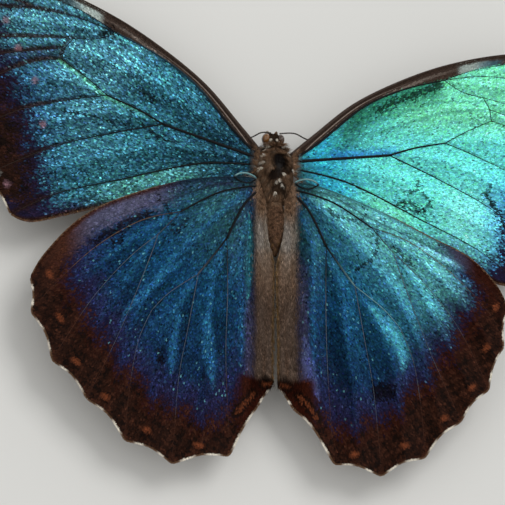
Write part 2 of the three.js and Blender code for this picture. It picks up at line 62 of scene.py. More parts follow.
FOREWING = {
    "scallop": 0.07,
    "points": {
        "costaRoot": (-0.9, 1.5), "stemRoot": (-1.05, 0.2), "vannalRoot": (-1.0, -0.9),
        "analRoot": (-0.8, -2.0), "radialFork": (25.5, 20.1), "stalkFork": (40, 22.6),
        "apexFork": (47, 21.9), "cellTop": (33, 17.9), "cellEnd": (34.3, 15.8),
        "cellCorner": (34.7, 13.6), "cubitalFork": (26.2, 8), "firstFork": (16, 4.1),
        "radial2Tip": (44, 28.3), "radial3Tip": (57, 26.6), "radial4Tip": (65.8, 19.6),
        "radial5Tip": (64.6, 16.4), "median1Tip": (61.6, 12.6), "median2Tip": (57.7, 8.4),
        "median3Tip": (53.6, 3.8), "cubital1Tip": (49.7, -2.4), "cubital2Tip": (46, -9.8),
        "anal2Tip": (41, -16.2),
    },
    "veins": {
        "costa": ["costaRoot", (2.4, 5.9), (9.3, 12.9), (18, 18.9), (26.6, 23.4), (36, 26.8),
                  "radial2Tip"],
        "subcosta": [(0.2, 1.9), (2.7, 5.1), (9.8, 12.5), (17.7, 17.8), (26.4, 22.4), (33, 25.6)],
        "radialStem": ["stemRoot", (3.2, 4.7), (10.6, 12.4), (18, 17.1), "radialFork"],
        "radial2": ["radialFork", (31, 23), (37, 25.2), "radial2Tip"],
        "radialStalk": ["radialFork", (32.5, 22), "stalkFork"],
        "radial3": ["stalkFork", (48, 25), "radial3Tip"],
        "apexStalk": ["stalkFork", "apexFork"],
        "radial4": ["apexFork", (56.5, 21.4), "radial4Tip"],
        "radial5": ["apexFork", (56, 19.5), "radial5Tip"],
        "cellFront": ["radialFork", (29, 18.4), "cellTop"],
        "crossFront": ["cellEnd", "cellTop"],
        "crossBack": ["cellEnd", "cellCorner"],
        "cubitalStem": ["stemRoot", (7.2, 2.2), "firstFork"],
        "cubitalMid": ["firstFork", (20.9, 6.3), "cubitalFork"],
        "cubitalEnd": ["cubitalFork", (30.2, 10.9), "cellCorner"],
        "median1": ["cellTop", (45.7, 16.2), "median1Tip"],
        "median2": ["cellEnd", (45.6, 13), "median2Tip"],
        "median3": ["cellCorner", (40.5, 11.9), "median3Tip"],
        "cubital1": ["cubitalFork", (32.7, 6.2), (41, 3.1), "cubital1Tip"],
        "cubital2": ["firstFork", (25.4, 0.9), (35.3, -3.2), "cubital2Tip"],
        "anal2": ["vannalRoot", (9, -2.2), (22.4, -7.1), (33.1, -11.2), "anal2Tip"],
    },
    "margin": ["radial2Tip", (51, 28.3), "radial3Tip", (62.2, 23.4), "radial4Tip", "radial5Tip",
               "median1Tip", "median2Tip", "median3Tip", "cubital1Tip", "cubital2Tip", "anal2Tip"],
    "back": ["analRoot", (3.6, -4.7), (18, -9.6), (30.8, -14.8), (37.4, -17.1), "anal2Tip"],
    "creases": [
        (["radialStalk", "apexStalk", "radial5"], ["cellFront", "median1"]),
        (["radialStem", "cellFront"], ["cubitalStem", "cubitalMid", "cubitalEnd"]),
        (["median1"], ["median2"]),
        (["median2"], ["median3"]),
        (["cubitalEnd", "median3"], ["cubital1"]),
        (["cubitalMid", "cubital1"], ["cubital2"]),
        (["cubitalStem", "cubital2"], ["anal2"]),
    ],
}

HINDWING = {
    "scallop": 0.1,
    "points": {
        "costaRoot": (-0.4, 1.2), "stemRoot": (-0.9, 0.1), "vannalRoot": (-1.25, -0.9),
        "analRoot": (-1.6, -2.1), "sectorFork": (13.1, -6.2), "medianFork": (17, -10.6),
        "firstFork": (4.9, -10.3), "cubitalFork": (9.9, -17.1), "cellBend": (17.9, -24.1),
        "apexTip": (38.9, -20), "sectorTip": (38.6, -26), "median1Tip": (34.8, -34.1),
        "median2Tip": (28.7, -40.3), "median3Tip": (22.1, -47), "cubital1Tip": (13.9, -50.5),
        "cubital2Tip": (4, -48.6), "anal2Tip": (-1.1, -39.5), "analAngle": (-3.7, -35.7),
    },
    "veins": {
        "costa": ["costaRoot", (4.3, 1), (13.2, -0.6), (23.7, -4.6), (30.8, -9), (36.4, -15.4),
                  "apexTip"],
        "subcosta": ["stemRoot", (5.5, -0.3), (13, -3.2), (24, -7.8), (32, -12.8), "apexTip"],
        "sectorStem": ["stemRoot", (6.1, -2), "sectorFork"],
        "sector": ["sectorFork", (20.1, -8.4), (27.8, -13.7), (34.6, -20.8), "sectorTip"],
        "medianStem": ["sectorFork", "medianFork"],
        "median1": ["medianFork", (22.2, -15.4), (28.4, -23.2), "median1Tip"],
        "median2": ["medianFork", (18.6, -15.5), (23.4, -28.4), "median2Tip"],
        "cubitalStem": ["stemRoot", (1.9, -4), "firstFork"],
        "cubitalMid": ["firstFork", (7.2, -13.5), "cubitalFork"],
        "cubitalEnd": ["cubitalFork", (14.9, -20.8), "cellBend"],
        "median3": ["cellBend", (20.1, -29.6), (21.4, -37.6), "median3Tip"],
        "cubital1": ["cubitalFork", (11.6, -27), (13.1, -36.2), "cubital1Tip"],
        "cubital2": ["firstFork", (4.7, -20), (4.9, -32), "cubital2Tip"],
        "anal2": ["vannalRoot", (-0.4, -9), (-0.5, -22), "anal2Tip"],
    },
    "margin": ["apexTip", "sectorTip", "median1Tip", "median2Tip", "median3Tip", "cubital1Tip",
               "cubital2Tip", "anal2Tip", "analAngle"],
    "back": ["analRoot", (-1.8, -9.8), (-3.75, -16), (-3.5, -28), "analAngle"],
    "creases": [
        (["sector"], ["medianStem", "median1"]),
        (["median1"], ["median2"]),
        (["sectorStem", "medianStem", "median2"],
         ["cubitalStem", "cubitalMid", "cubitalEnd", "median3"]),
        (["cubitalEnd", "median3"], ["cubital1"]),
        (["cubitalMid", "cubital1"], ["cubital2"]),
        (["cubitalStem", "cubital2"], ["anal2"]),
    ],
}

# The right hindwing's front edge is rolled under, so that it looks narrower there from above, and
# its outer margin has grown a little differently.
HINDWING_ROLLED = {
    **HINDWING,
    "points": {
        **HINDWING["points"],
        "apexTip": (37.9, -19.3), "sectorTip": (37, -26.3), "median1Tip": (34, -34.3),
        "cubital1Tip": (14.3, -50.6), "cubital2Tip": (5.9, -48.9),
    },
    "veins": {
        **HINDWING["veins"],
        "costa": ["costaRoot", (4.3, 0.6), (14.8, -3), (23.8, -7), (31, -10.3), (35.8, -15),
                  "apexTip"],
        "subcosta": ["stemRoot", (5.5, -0.7), (13, -4.5), (24, -9.1), (32, -13.8), "apexTip"],
    },
}

# Where each wing hangs, and its sweep, lift and pitch in degrees, as in the CAD model.
FORE_HINGE = (4.43, 2.69, 0.0)
HIND_HINGE = (3.94, -2.29, 0.95)
WING_POSES = {
    "forewing_left": (2.0, 0.3, 0.2),
    "forewing_right": (-2.0, 1.0, 1.3),
    "hindwing_left": (-1.9, 1.9, 1.5),
    "hindwing_right": (1.9, 0.8, 0.8),
}
DROOP = 0.9 / 50 ** 2                # how a wing sinks with the square of the way from its hinge
INNER_FOLD = (1.4, -2.2, 0.9)        # a hindwing bends down from one x to the other, this far

MEMBRANE = 0.16                      # thickness away from its edge
MEMBRANE_EDGE = 0.08                 # thickness at its edge
CREASE_RISE = 0.3                    # how far the folds between veins stand up
CREASE_WIDTH = 3.5                   # where the veins are closer, the fold is lower in proportion
CREASE_POWER = 1.4                   # how steeply a fold climbs from vein to crease
CREASE_SINK = 0.35                   # the veins lie below the plane by this share of the rise
VEIN_ROOT = 0.24                     # half width of a vein at the hinge
VEIN_TIP = 0.085                     # and at VEIN_FADE from it
VEIN_FADE = 48.0
VEIN_END = 0.4                       # it stops this far from the margin
FRINGE_DEPTH = 0.45                  # the membrane stops this far inside the outline
ROUNDING = 14                        # passes of smoothing over the outline's points
CURVE_STEP = 0.15                    # spacing of the points on veins, folds and markings
MARGIN_STEP = 0.25                   # of those on the outline
MEMBRANE_STEP = 0.5                  # and of those on a membrane's own edge
PATCH_HALF = 0.0015                  # half the size of a tuft's or scale's patch on an OFBake map

# ---------------------------------------------------------------- colours


def shade(code):
    """A colour written in sRGB hexadecimal, as linear light."""
    parts = np.array([int(code[i:i + 2], 16) for i in (0, 2, 4)]) / 255
    return np.where(parts <= 0.04045, parts / 12.92, ((parts + 0.055) / 1.055) ** 2.4)


def shades(codes):
    return [shade(code) for code in codes.split()]


# The left forewing's teal, the right one's turquoise with its gloss painted in, and the hindwings'
# blue.
TEAL_ROOT, TEAL, TEAL_BRIGHT, TEAL_OUTER = shades("1c3f4e 2b6070 3e7282 2a5671")
# STREAK is a painted glint along the left forewing's cell, SPARK a painted glint on single scales.
MINT, STREAK, SPARK = shades("54968a 62c8dc 8adfe6")
# SKY and TURQUOISE, with their kin down to EDGE_BLUE, are the right forewing's iridescent gloss
# painted into its colour: a painted reflection.
SKY_ROOT, SKY, OLIVE = shades("33707c 34aac6 2c7a62")
TURQUOISE, TURQUOISE_GREEN, TURQUOISE_PALE = shades("64dcd2 74dcae 8aece4")
CELL_BLUE, EDGE_BLUE = shades("2f80d0 3686d8")
HIND_ROOT, HIND_MIDDLE, HIND_OUTER, HIND_EDGE = shades("234a54 0e3551 0f2642 3f78b4")
# HIND_SHADED to HIND_LIT is a painted sheen on the right hindwing, and HIND_GLARE a painted glare
# on its front band.
HIND_SHADED, HIND_LIT, HIND_GLARE = shades("2c7a9c 5cacb0 84d2e6")
# HIND_STREAK and STREAK_LIT are painted highlights along the hindwings' folds and streaks, and
# STREAK_TEAL a painted sheen beside the left one's inner fold.
HIND_STREAK, STREAK_LIT, STREAK_TEAL = shades("266088 489cae 2f7a86")
# LAVENDER is a painted glint beside the right hindwing's inner fold.
DUSK, LAVENDER, PURPLE_GREY = shades("1a1630 5c68a0 54546c")
# The brown border and its spots, the front edge, the veins and the fringe.
RIM_RED, RIM_BROWN, RIM_DARK, RIM_EDGE = shades("2f1108 25120a 140a06 45261a")
RUST, SPOT_PINK, TAN, CHALK = shades("84462a 96707a 8a6a50 b4c2bc")
# COSTA_PALE is a painted highlight along a forewing's subcosta.
COSTA_BROWN, COSTA_PALE, FRINGE_WHITE = shades("3d3029 6e635b e8dfce")
# VEIN_LIT is a painted highlight on the small loop at a hindwing's root and on two of the right
# hindwing's veins.
VEIN_DARK, VEIN_PALE, VEIN_LIT = shades("07090c 5c6470 86b4b8")
UNDER_BROWN, UNDER_PALE, UNDER_DARK, UNDER_YELLOW, UNDER_BLUE = shades(
    "5d4533 a08a6c 2c2018 b08a3c 6e7f9a")
# The hair of the body and of the hindwings' inner folds; FOLD_LIT is a painted sheen on the folds'
# hair.
FOLD_GREY, FOLD_BROWN, FOLD_LIT = shades("8e8478 5a463a aaa29a")
HAIR_GREY, HAIR_BROWN, HAIR_WARM, HAIR_DARK, HAIR_OCHRE = shades(
    "8a7b6a 5c4434 8a6c54 2b1d15 8c6c40")
# The eyes, from their lenses' middles to the gaps, with a painted highlight on top and painted
# shade below, and the limbs.
EYE_AMBER, EYE_GAP, EYE_LIT, EYE_SHADED_BELOW = shades("6a3f1c 1e1008 b07a40 180a05")
LEG_DARK, LEG_PALE, SPINE_DARK, CLAW_DARK = shades("33261c 6a543e 1d1510 140e0a")
FEELER_DARK, FEELER_RING, CLUB_BROWN, TONGUE = shades("1c140f 6b5a48 5a3420 4a2c18")
FLOOR_DARK, FLOOR_PALE = shades("dcdcd8 e4e3df")


def mix(a, b, share):
    """From a to b, each one colour or one for each place."""
    share = np.asarray(share)[..., None]
    return a * (1 - share) + b * share


def layered(tint, *layers):
    """A tint under layers of colour, each a pair: the colour, and its share at each place."""
    for colour, share in layers:
        tint = mix(tint, colour, share)
    return tint


def smooth(low, high, value):
    """0 below low, 1 above high, and a soft step between; low may be the higher."""
    t = np.clip((value - low) / (high - low), 0, 1)
    return t * t * (3 - 2 * t)


def ripple(p, size):
    """A repeatable unevenness between -1 and 1, about size across."""
    x, y = p.T / size
    return (np.sin(2.1 * x + 1.3 * y) + np.sin(3.7 * y - 1.9 * x + 1.1)
            + np.sin(4.3 * x + 1.7 * np.sin(2.9 * y + 0.6))) / 3


# ---------------------------------------------------------------- mesh helpers


def unit(vectors):
    return vectors / np.linalg.norm(vectors, axis=-1, keepdims=True)


def laid_flat(vectors, normals):
    """Vectors turned into a surface, as unit vectors."""
    return unit(vectors - normals * np.einsum("ij,ij->i", vectors, normals)[:, None])


def outward(points, triangles):
    """The triangles of one closed body, turned so that their faces look out."""
    a, b, c = (points[triangles[:, i]] for i in range(3))
    volume = np.einsum("ij,ij->i", a, np.cross(b, c)).sum()
    return triangles if volume > 0 else triangles[:, ::-1]


def tube(places, widths, heights=None, sides=8, up=(0, 0, 1)):
    """A closed tube along places; widths and heights are its half sizes across and upward."""
    places = np.asarray(places, float)
    count = len(places)
    widths = np.broadcast_to(widths, count)
    heights = widths if heights is None else np.broadcast_to(heights, count)
    ahead = unit(np.gradient(places, axis=0))
    current = np.array(up, float)
    ups = []
    for direction in ahead:
        current = unit(current - direction * (current @ direction))
        ups.append(current)
    ups = np.array(ups)
    across = np.cross(ahead, ups)
    angle = 2 * np.pi * np.arange(sides) / sides
    ring = (places[:, None]
            + across[:, None] * (widths[:, None] * np.cos(angle))[..., None]
            + ups[:, None] * (heights[:, None] * np.sin(angle))[..., None])
    points = np.vstack([ring.reshape(-1, 3), places[:1], places[-1:]])
    return points, outward(points, ring_faces(count, sides))


def ring_faces(count, sides):
    """Triangles over count rings of sides points, whose two end centres follow the rings."""
    s = np.arange(sides)
    after = (s + 1) % sides
    walls = []
    for r in range(count - 1):
        a, b = r * sides + s, r * sides + after
        walls += [np.stack([a, b, b + sides], 1), np.stack([a, b + sides, a + sides], 1)]
    last = (count - 1) * sides
    start = np.full(sides, count * sides)
    walls += [np.stack([start, after, s], 1), np.stack([start + 1, last + s, last + after], 1)]
    return np.vstack(walls)


def tube_tints(tint, sides):
    """A tint for each point of a tube, from one for each of its places."""
    return np.vstack([np.repeat(tint, sides, axis=0), tint[:1], tint[-1:]])


def scatter(template, triangles, roots, *axes):
    """Copies of a small closed body. Each column of template goes along one of the axes."""
    points = roots[:, None] + sum(
        template[None, :, i, None] * axis[:, None] for i, axis in enumerate(axes))
    starts = len(template) * np.arange(len(roots))
    return points.reshape(-1, 3), (triangles[None] + starts[:, None, None]).reshape(-1, 3)


class Bundle:
    """Closed bodies gathered into one mesh, with a colour for each point."""

    def __init__(self):
        self.points, self.triangles, self.tints, self.count = [], [], [], 0

    def add(self, body, tint):
        points, triangles = body
        self.points.append(points)
        self.triangles.append(triangles + self.count)
        self.tints.append(np.broadcast_to(tint, points.shape))
        self.count += len(points)

    def arrays(self):
        return np.vstack(self.points), np.vstack(self.triangles), np.vstack(self.tints)


def make_piece(name, points, triangles, material, slot, tint, smooth_faces=True, patches=None,
               gleam=None):
    """A mesh object that rides on the body. patches are OFBake places, one for each point."""
    mesh = bpy.data.meshes.new(name)
    mesh.vertices.add(len(points))
    mesh.vertices.foreach_set("co", (points * MM).astype(np.float32).ravel())
    mesh.loops.add(3 * len(triangles))
    mesh.loops.foreach_set("vertex_index", triangles.astype(np.int32).ravel())
    mesh.polygons.add(len(triangles))
    mesh.polygons.foreach_set("loop_start", np.arange(0, 3 * len(triangles), 3, dtype=np.int32))
    mesh.polygons.foreach_set("use_smooth", np.full(len(triangles), smooth_faces))
    tints = mesh.attributes.new("tint", "FLOAT_COLOR", "POINT")
    tints.data.foreach_set("color", np.hstack([tint, np.ones((len(points), 1))]).ravel())
    if gleam is not None:
        mesh.attributes.new("gleam", "FLOAT", "POINT").data.foreach_set("value", gleam)
    if patches is not None:
        layer = mesh.uv_layers.new(name="OFBake")
        layer.data.foreach_set("uv", patches[triangles.ravel()].astype(np.float32).ravel())
    mesh.update(calc_edges=True)
    piece = bpy.data.objects.new(name, mesh)
    bpy.context.scene.collection.objects.link(piece)
    mesh.materials.append(material)
    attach(piece, "root")
    return piece


def tuft_patches(unwrapped, template):
    """OFBake places: each tuft or scale is a small patch round its root's place."""
    flat = template[:, :2] - template[:, :2].mean(0)
    flat = flat / np.abs(flat).max() * PATCH_HALF
    return (unwrapped[:, None] + flat[None]).reshape(-1, 2)


# ---------------------------------------------------------------- curves in a wing's plane


def respace(dense, step):
    """The same line with its points about a step apart."""
    along = np.concatenate([[0], np.cumsum(np.linalg.norm(np.diff(dense, axis=0), axis=1))])
    count = max(2, round(along[-1] / step) + 1)
    even = np.linspace(0, along[-1], count)
    return np.stack([np.interp(even, along, dense[:, i]) for i in range(dense.shape[1])], 1)


def spline(places, step=CURVE_STEP):
    """A smooth curve through the places."""
    p = np.array(places, float)
    p = np.vstack([p[:1], p, p[-1:]])
    t = np.linspace(0, 1, 20, endpoint=False)[:, None]
    parts = [
        0.5 * (2 * b + (c - a) * t + (2 * a - 5 * b + 4 * c - d) * t ** 2
               + (3 * b - a - 3 * c + d) * t ** 3)
        for a, b, c, d in zip(p, p[1:], p[2:], p[3:])
    ]
    return respace(np.vstack(parts + [p[-1:]]), step)


def nearest(p, line):
    """The nearest point of a finely stepped line to each place: its number, and how far it is."""
    tree = KDTree(len(line))
    for i, (x, y) in enumerate(line):
        tree.insert((x, y, 0), i)
    tree.balance()
    found = [tree.find((x, y, 0)) for x, y in p]
    return np.array([number for _, number, _ in found]), np.array([away for *_, away in found])


def distance_to(p, line):
    """How far each place lies from a finely stepped line, or from the nearest of some places."""
    return nearest(p, line)[1]


def is_inside(p, outline):
    """Which places lie inside a closed outline."""
    inside = np.zeros(len(p), bool)
    for (x0, y0), (x1, y1) in zip(outline, np.roll(outline, -1, axis=0)):
        if y0 != y1:
            crosses = (y0 > p[:, 1]) != (y1 > p[:, 1])
            inside ^= crosses & (p[:, 0] < (x1 - x0) * (p[:, 1] - y0) / (y1 - y0) + x0)
    return inside


def depth_in(p, outline):
    """How far each place lies inside a closed outline; outside it is negative."""
    return np.where(is_inside(p, outline), 1, -1) * distance_to(p, outline)


def outward_of(line):
    """Unit vectors square to a line, away from the hinge."""
    ahead = unit(np.gradient(line, axis=0))
    out = np.column_stack([-ahead[:, 1], ahead[:, 0]])
    middle = len(line) // 2
    return -out if out[middle] @ line[middle] < 0 else out


# ---------------------------------------------------------------- where the butterfly is

EYE_PLACE = np.array([1.28, 7.35, -1.05])    # from the body's middle, in the wing plane
low, high = zip(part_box("eye_left"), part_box("eye_right"))
EYES = (np.array(low) + np.array(high)) / 2 / MM
ACROSS = unit(EYES[1] - EYES[0])
FORWARD = np.array([-ACROSS[1], ACROSS[0], 0.0])
UP = np.array([0.0, 0.0, 1.0])
BODY_TURN = np.array([ACROSS, FORWARD, UP])
ORIGIN = EYES.mean(0) - EYE_PLACE[1] * FORWARD - EYE_PLACE[2] * UP
WING_PLANE = ORIGIN[2]


def in_body(points):
    """Points given from the body's middle, in the row frame."""
    return points @ BODY_TURN + ORIGIN


# ---------------------------------------------------------------- wings


# The skin's wings run on into the thorax, past the places where the solids stop.
ROOT_REACH = {"costaRoot": -0.9, "stemRoot": -0.9, "vannalRoot": -0.8, "analRoot": -0.7}
# The bent inner edge of a hindwing reaches further in than the solid's, up to the abdomen.
HIND_BACK = [(-2.3, -2.4), (-2.3, -4.6), (-2.35, -7), (-2.75, -9.5), (-3.35, -11.9),
             (-3.8, -13.6), (-3.85, -17), (-3.7, -28), "analAngle"]


class Wing:
    """One wing: its pattern's curves, its relief and where it stands."""

    def __init__(self, name):
        self.name = name
        self.kind = name.split("_")[0]
        self.side = -1 if name.endswith("left") else 1
        self.is_fore = self.kind == "forewing"
        self.pattern = FOREWING if self.is_fore else self.pick(HINDWING, HINDWING_ROLLED)
        sweep, lift, pitch = (math.radians(angle) for angle in WING_POSES[name])
        turn = (Matrix.Rotation(-self.side * lift, 3, "Y") @ Matrix.Rotation(pitch, 3, "X")
                @ Matrix.Rotation(self.side * sweep, 3, "Z"))
        self.turn = np.array(turn)
        self.hinge = ORIGIN + np.array(FORE_HINGE if self.is_fore else HIND_HINGE) * (
            self.side, 1, 1)
        self.runs = {vein: spline(self.all_at(places))
                     for vein, places in self.pattern["veins"].items()}
        self.creases = [self.crease(*pair) for pair in self.pattern["creases"]]
        self.root = self.all_at(["vannalRoot", "stemRoot"])
        self.build_outline()

    def pick(self, left, right):
        """What belongs to this wing's side."""
        return left if self.side < 0 else right

    def all_at(self, places):
        """The places, with the names among them looked up."""
        return [self.at(place) if isinstance(place, str) else place for place in places]

    def at(self, name):
        x, y = self.pattern["points"][name]
        return (x + ROOT_REACH.get(name, 0), y)

    def crease(self, front, back):
        """The line half way between two runs of veins."""
        lines = [respace(np.vstack([self.runs[vein] for vein in veins]), 1.0)
                 for veins in (front, back)]
        count = max(len(line) for line in lines)
        t = np.linspace(0, 1, count)
        even = [np.stack([np.interp(t, np.linspace(0, 1, len(line)), line[:, i])
                          for i in (0, 1)], 1) for line in lines]
        return respace((even[0] + even[1]) / 2, CURVE_STEP)

    def build_outline(self):
        """The front and back edges, the margin in bays, and the closed outline."""
        margin = self.pattern["margin"]
        bays = []
        i = 0
        while i + 1 < len(margin):
            if isinstance(margin[i + 1], str):
                bays.append(self.bay(*np.array(self.all_at(margin[i:i + 2]))))
                i += 1
            else:
                bays.append(spline(self.all_at(margin[i:i + 3]), MARGIN_STEP))
                i += 2
        front = spline(self.all_at(self.pattern["veins"]["costa"]), MARGIN_STEP)
        back = self.pattern["back"] if self.is_fore else HIND_BACK
        back = spline(self.all_at(back), MARGIN_STEP)
        self.front, *self.bays, back = self.rounded([front, *bays, back[::-1]])
        self.back = back[::-1]
        self.margin = np.vstack(self.bays)
        self.outline = np.vstack([self.front, *[bay[1:] for bay in self.bays],
                                  self.back[::-1][1:], self.root])

    def bay(self, a, b):
        """A scallop of the margin from one vein's tip to the next."""
        length = np.linalg.norm(b - a)
        t = np.linspace(0, 1, max(8, round(length / MARGIN_STEP)))[:, None]
        inward = -unit((a + b) / 2) * length * self.pattern["scallop"]
        return a + (b - a) * t + inward * np.sin(np.pi * t)

    def rounded(self, runs):
        """Runs that follow each other, with the corners between them rounded off."""
        ends = np.cumsum([len(run) for run in runs])
        line = np.vstack(runs)
        for _ in range(ROUNDING):
            line[1:-1] = (line[:-2] + 2 * line[1:-1] + line[2:]) / 4
        return np.split(line, ends[:-1])

    def vein_distance(self, p):
        return distance_to(p, np.vstack(list(self.runs.values())))

    def crease_distance(self, p):
        return distance_to(p, np.vstack(self.creases))

    def height(self, p):
        """The middle of the membrane over the wing's own plane."""
        z = -DROOP * (p ** 2).sum(1)
        if not self.is_fore:
            begin, end, drop = INNER_FOLD
            z = z - drop * smooth(begin, end, p[:, 0])
        vein, crease = self.vein_distance(p), self.crease_distance(p)
        share = vein / (vein + crease + 1e-6)
        width = np.minimum(1, (vein + crease) / CREASE_WIDTH)
        return z + CREASE_RISE * width * (share ** CREASE_POWER - CREASE_SINK)

    def facing(self, p, reach=0.3, steepest=0.1):
        """How much each place between the veins tilts toward the front edge, from -1 to 1."""
        ahead = unit(np.stack([-p[:, 1], p[:, 0]], 1) + 1e-6)
        rise = self.height(p + ahead * reach) - self.height(p - ahead * reach)
        return np.clip(-rise / (2 * reach) / steepest, -1, 1)

    def turned(self, vectors):
        """Vectors of the wing's plane, with x and y or with x, y and z, in the row frame."""
        flat = np.pad(vectors, ((0, 0), (0, 3 - vectors.shape[1])))
        return (flat * (self.side, 1, 1)) @ self.turn.T

    def placed(self, p, lift=0.0):
        """Places lift over the middle of the membrane, in the row frame."""
        return self.turned(np.column_stack([p, self.height(p) + lift])) + self.hinge

    def normal(self, p, reach=0.12):
        """The upper side's outward direction at each place, in the row frame."""
        slopes = [(self.height(p + step) - self.height(p - step)) / (2 * reach)
                  for step in np.eye(2) * reach]
        return unit(self.turned(np.column_stack([-slopes[0], -slopes[1], np.ones(len(p))])))

    def inner_line(self):
        """The membrane's own edge, inside the fringe along the margin."""
        edge = [bay - outward_of(bay) * FRINGE_DEPTH for bay in self.bays]
        line = np.vstack([self.front, *edge, self.back[::-1], self.root])
        return respace(np.vstack([line, line[:1]]), MEMBRANE_STEP)[:-1]


# ---------------------------------------------------------------- markings

# Where the blue ends, from the front edge round to the hind one.
FORE_BLUE_EDGE = [(39, 28.6), (43.5, 24.5), (46.3, 20.5), (46, 15.5), (43.4, 10.2), (41.4, 7.7),
                  (40.2, 4.1), (38.2, 0.7), (37, -3.8), (36, -6.4), (35.2, -10.4), (34, -14),
                  (32, -18)]
HIND_BLUE_EDGE = [(12, 3), (21, -3.4), (27.6, -8.4), (30.2, -12.6), (31, -17.5), (29.3, -22),
                  (26.9, -25.5), (25, -28.6), (22.8, -32.1), (20, -35.6), (17.6, -38.4),
                  (13.5, -40.2), (9.9, -42), (6.5, -41.7), (4.7, -40.5), (2.1, -37.3),
                  (0.6, -33)]
FORE_DOTS = [(44.6, 19.3), (42, 14.5), (38.6, 8.7), (36.5, 0.9), (41.6, -10.8)]
FORE_WHITE_DOTS = [(49.5, 24.6), (54, 22.6), (58.6, 17.6), (56.4, 13.8), (53, 9.2), (49.2, 3.6),
                   (46.4, -2.4), (43.4, -9.0)]
HIND_EMBERS = [(35.2, -18.9), (33.2, -26.4), (30.4, -33.6), (25.3, -39.3), (18.2, -44.5),
               (9.4, -46.5)]
# Places where dark scales show through, each a line with the width of its scatter.
SCUFFS = {
    "forewing_left": [
        ([(35, 3.9), (28, 3.6), (22, 2.9), (21.3, 5.7)], 0.18),
        ([(19, 3.4), (16, 1.4), (13.5, 1.2)], 0.35),
        ([(20, 9.6), (17.5, 8.2)], 0.5), ([(25.9, 19.6), (27.0, 20.2), (27.6, 19.3)], 0.65),
    ],
    "forewing_right": [
        ([(19.4, -2.4), (21.4, -2.0), (23.2, -3.4), (22.6, -5.2), (20.4, -5.6), (18.2, -4.2)],
         0.3),
        ([(18.0, -4.6), (20.0, -4.4), (22.0, -5.6)], 0.45), ([(21, -1.0), (21.2, 0.0)], 0.3),
        ([(33.6, -0.6), (36.2, -3.6), (37.6, -5.6)], 0.5),
        ([(34.5, 1.2), (34.2, -1.2), (35.6, -2.7), (37.3, -3.6)], 0.25),
        ([(24.4, 18.9), (21.6, 17.1), (17.5, 15.0), (13.6, 12.2)], 0.55),
    ],
    "hindwing_left": [
        ([(27.5, -12.4), (24.5, -10.6), (21.9, -8.7), (18.5, -6.8)], 0.55),
        ([(24.6, -12.8), (23, -11.8)], 0.4), ([(16.8, -3.4), (14.8, -6.2), (14.2, -9.4)], 0.2),
        ([(11.6, -7.4), (13.8, -9.9)], 0.25), ([(16.3, -31), (16.2, -32.2)], 0.5),
    ],
    "hindwing_right": [
        ([(13.8, -7.2), (13.7, -9.4), (13.0, -11.5), (11.7, -12.5), (10.0, -13.7)], 0.27),
        ([(5.4, -2.7), (5.7, -4.1), (8.4, -4.6), (10.4, -5.2)], 0.22),
        ([(11.4, -2.4), (11.7, -3.5), (11.1, -4.6)], 0.2),
        ([(16.4, -9.2), (18.4, -11), (20, -12.4)], 0.28),
        ([(13.9, -35.3), (15.3, -35.3)], 1.5),
    ],
}
# Painted highlights: bright streaks in a hindwing's blue.
HIND_HIGHLIGHTS = {
    "hindwing_left": [([(12, -14), (16.4, -18.4), (21.8, -24.1), (23, -27.5)], 1.1),
                      ([(8.2, -23), (7.6, -31), (7, -37)], 1.7),
                      ([(12.8, -23), (13.9, -29), (14.3, -35)], 1.3)],
    "hindwing_right": [([(12, -20), (16.3, -24.5), (18.1, -28), (18.0, -32)], 2.1),
                       ([(17, -12), (22.6, -18), (27.4, -24)], 1.6)],
}
# Rusty streaks between dark ones at a hindwing's hind corner.
CORNER_STREAKS = [[(-3.1, -34.7), (-1.7, -34.9)], [(-0.1, -36.7), (1.4, -38.6), (2.9, -40.6)]]
# Painted glints in bright lines along the left forewing's cell; then faint olive lines along the
# right one's.
CELL_GLINTS = [
    ([(25.5, 19.7), (23.1, 18.5), (20.9, 17.2)], 0.34),
    ([(22.6, 16.2), (20.0, 14.7), (17.9, 13.3), (16.0, 12.1)], 0.2),
    ([(27, 17.6), (22.6, 14.9), (18, 11.9)], 0.16),
    ([(31, 16.6), (27, 14.6), (22.6, 12.6)], 0.14),
    ([(26.2, 18.6), (20.6, 14.6), (16.8, 11.2)], 0.12),
]
CELL_LINES = [[(14, 8), (24, 13), (33, 15.5)], [(14, 10.5), (24, 15.2), (33, 17)]]
# A painted sheen beside a hindwing's inner fold: its colour and share, its line and its width.
INNER_SHEEN = {
    "hindwing_left": (STREAK_TEAL, 0.5, [(0.9, -5), (0.7, -12), (1.2, -21)], 1.1),
    "hindwing_right": (LAVENDER, 0.4, [(0.9, -26), (1.4, -31), (2, -34), (3.4, -37.6)], 1.5),
}
# The small almond-shaped cell at a hindwing's root.
HUMERAL_LOOP = spline([(3.7, 1.1), (2.6, 1.8), (1.2, 1.9), (-0.4, 1.3), (0.9, 0.2), (2.4, 0.3),
                       (3.7, 1.1)], 0.12)


def spots(p, places, radius, length=1.0):
    """Soft spots; with a length over 1 they are drawn out round the hinge."""
    shown = np.zeros(len(p))
    for place in np.array(places, float):
        away = unit(place)
        across = (p - place) @ away
        along = (p - place) @ np.array([-away[1], away[0]])
        shown = np.maximum(shown, smooth(1.4, 0.3, np.hypot(along / length, across) / radius))
    return shown


def behind(p, run, width=0.4):
    """1 behind a run of veins that goes outward, 0 before it."""
    line = run[np.argsort(run[:, 0])]
    return smooth(-width, width, np.interp(p[:, 0], line[:, 0], line[:, 1]) - p[:, 1])


def near(p, line, reach, soft=0.3):
    """1 on a line, 0 beyond reach from it."""
    return smooth(reach, reach * soft, distance_to(p, line))


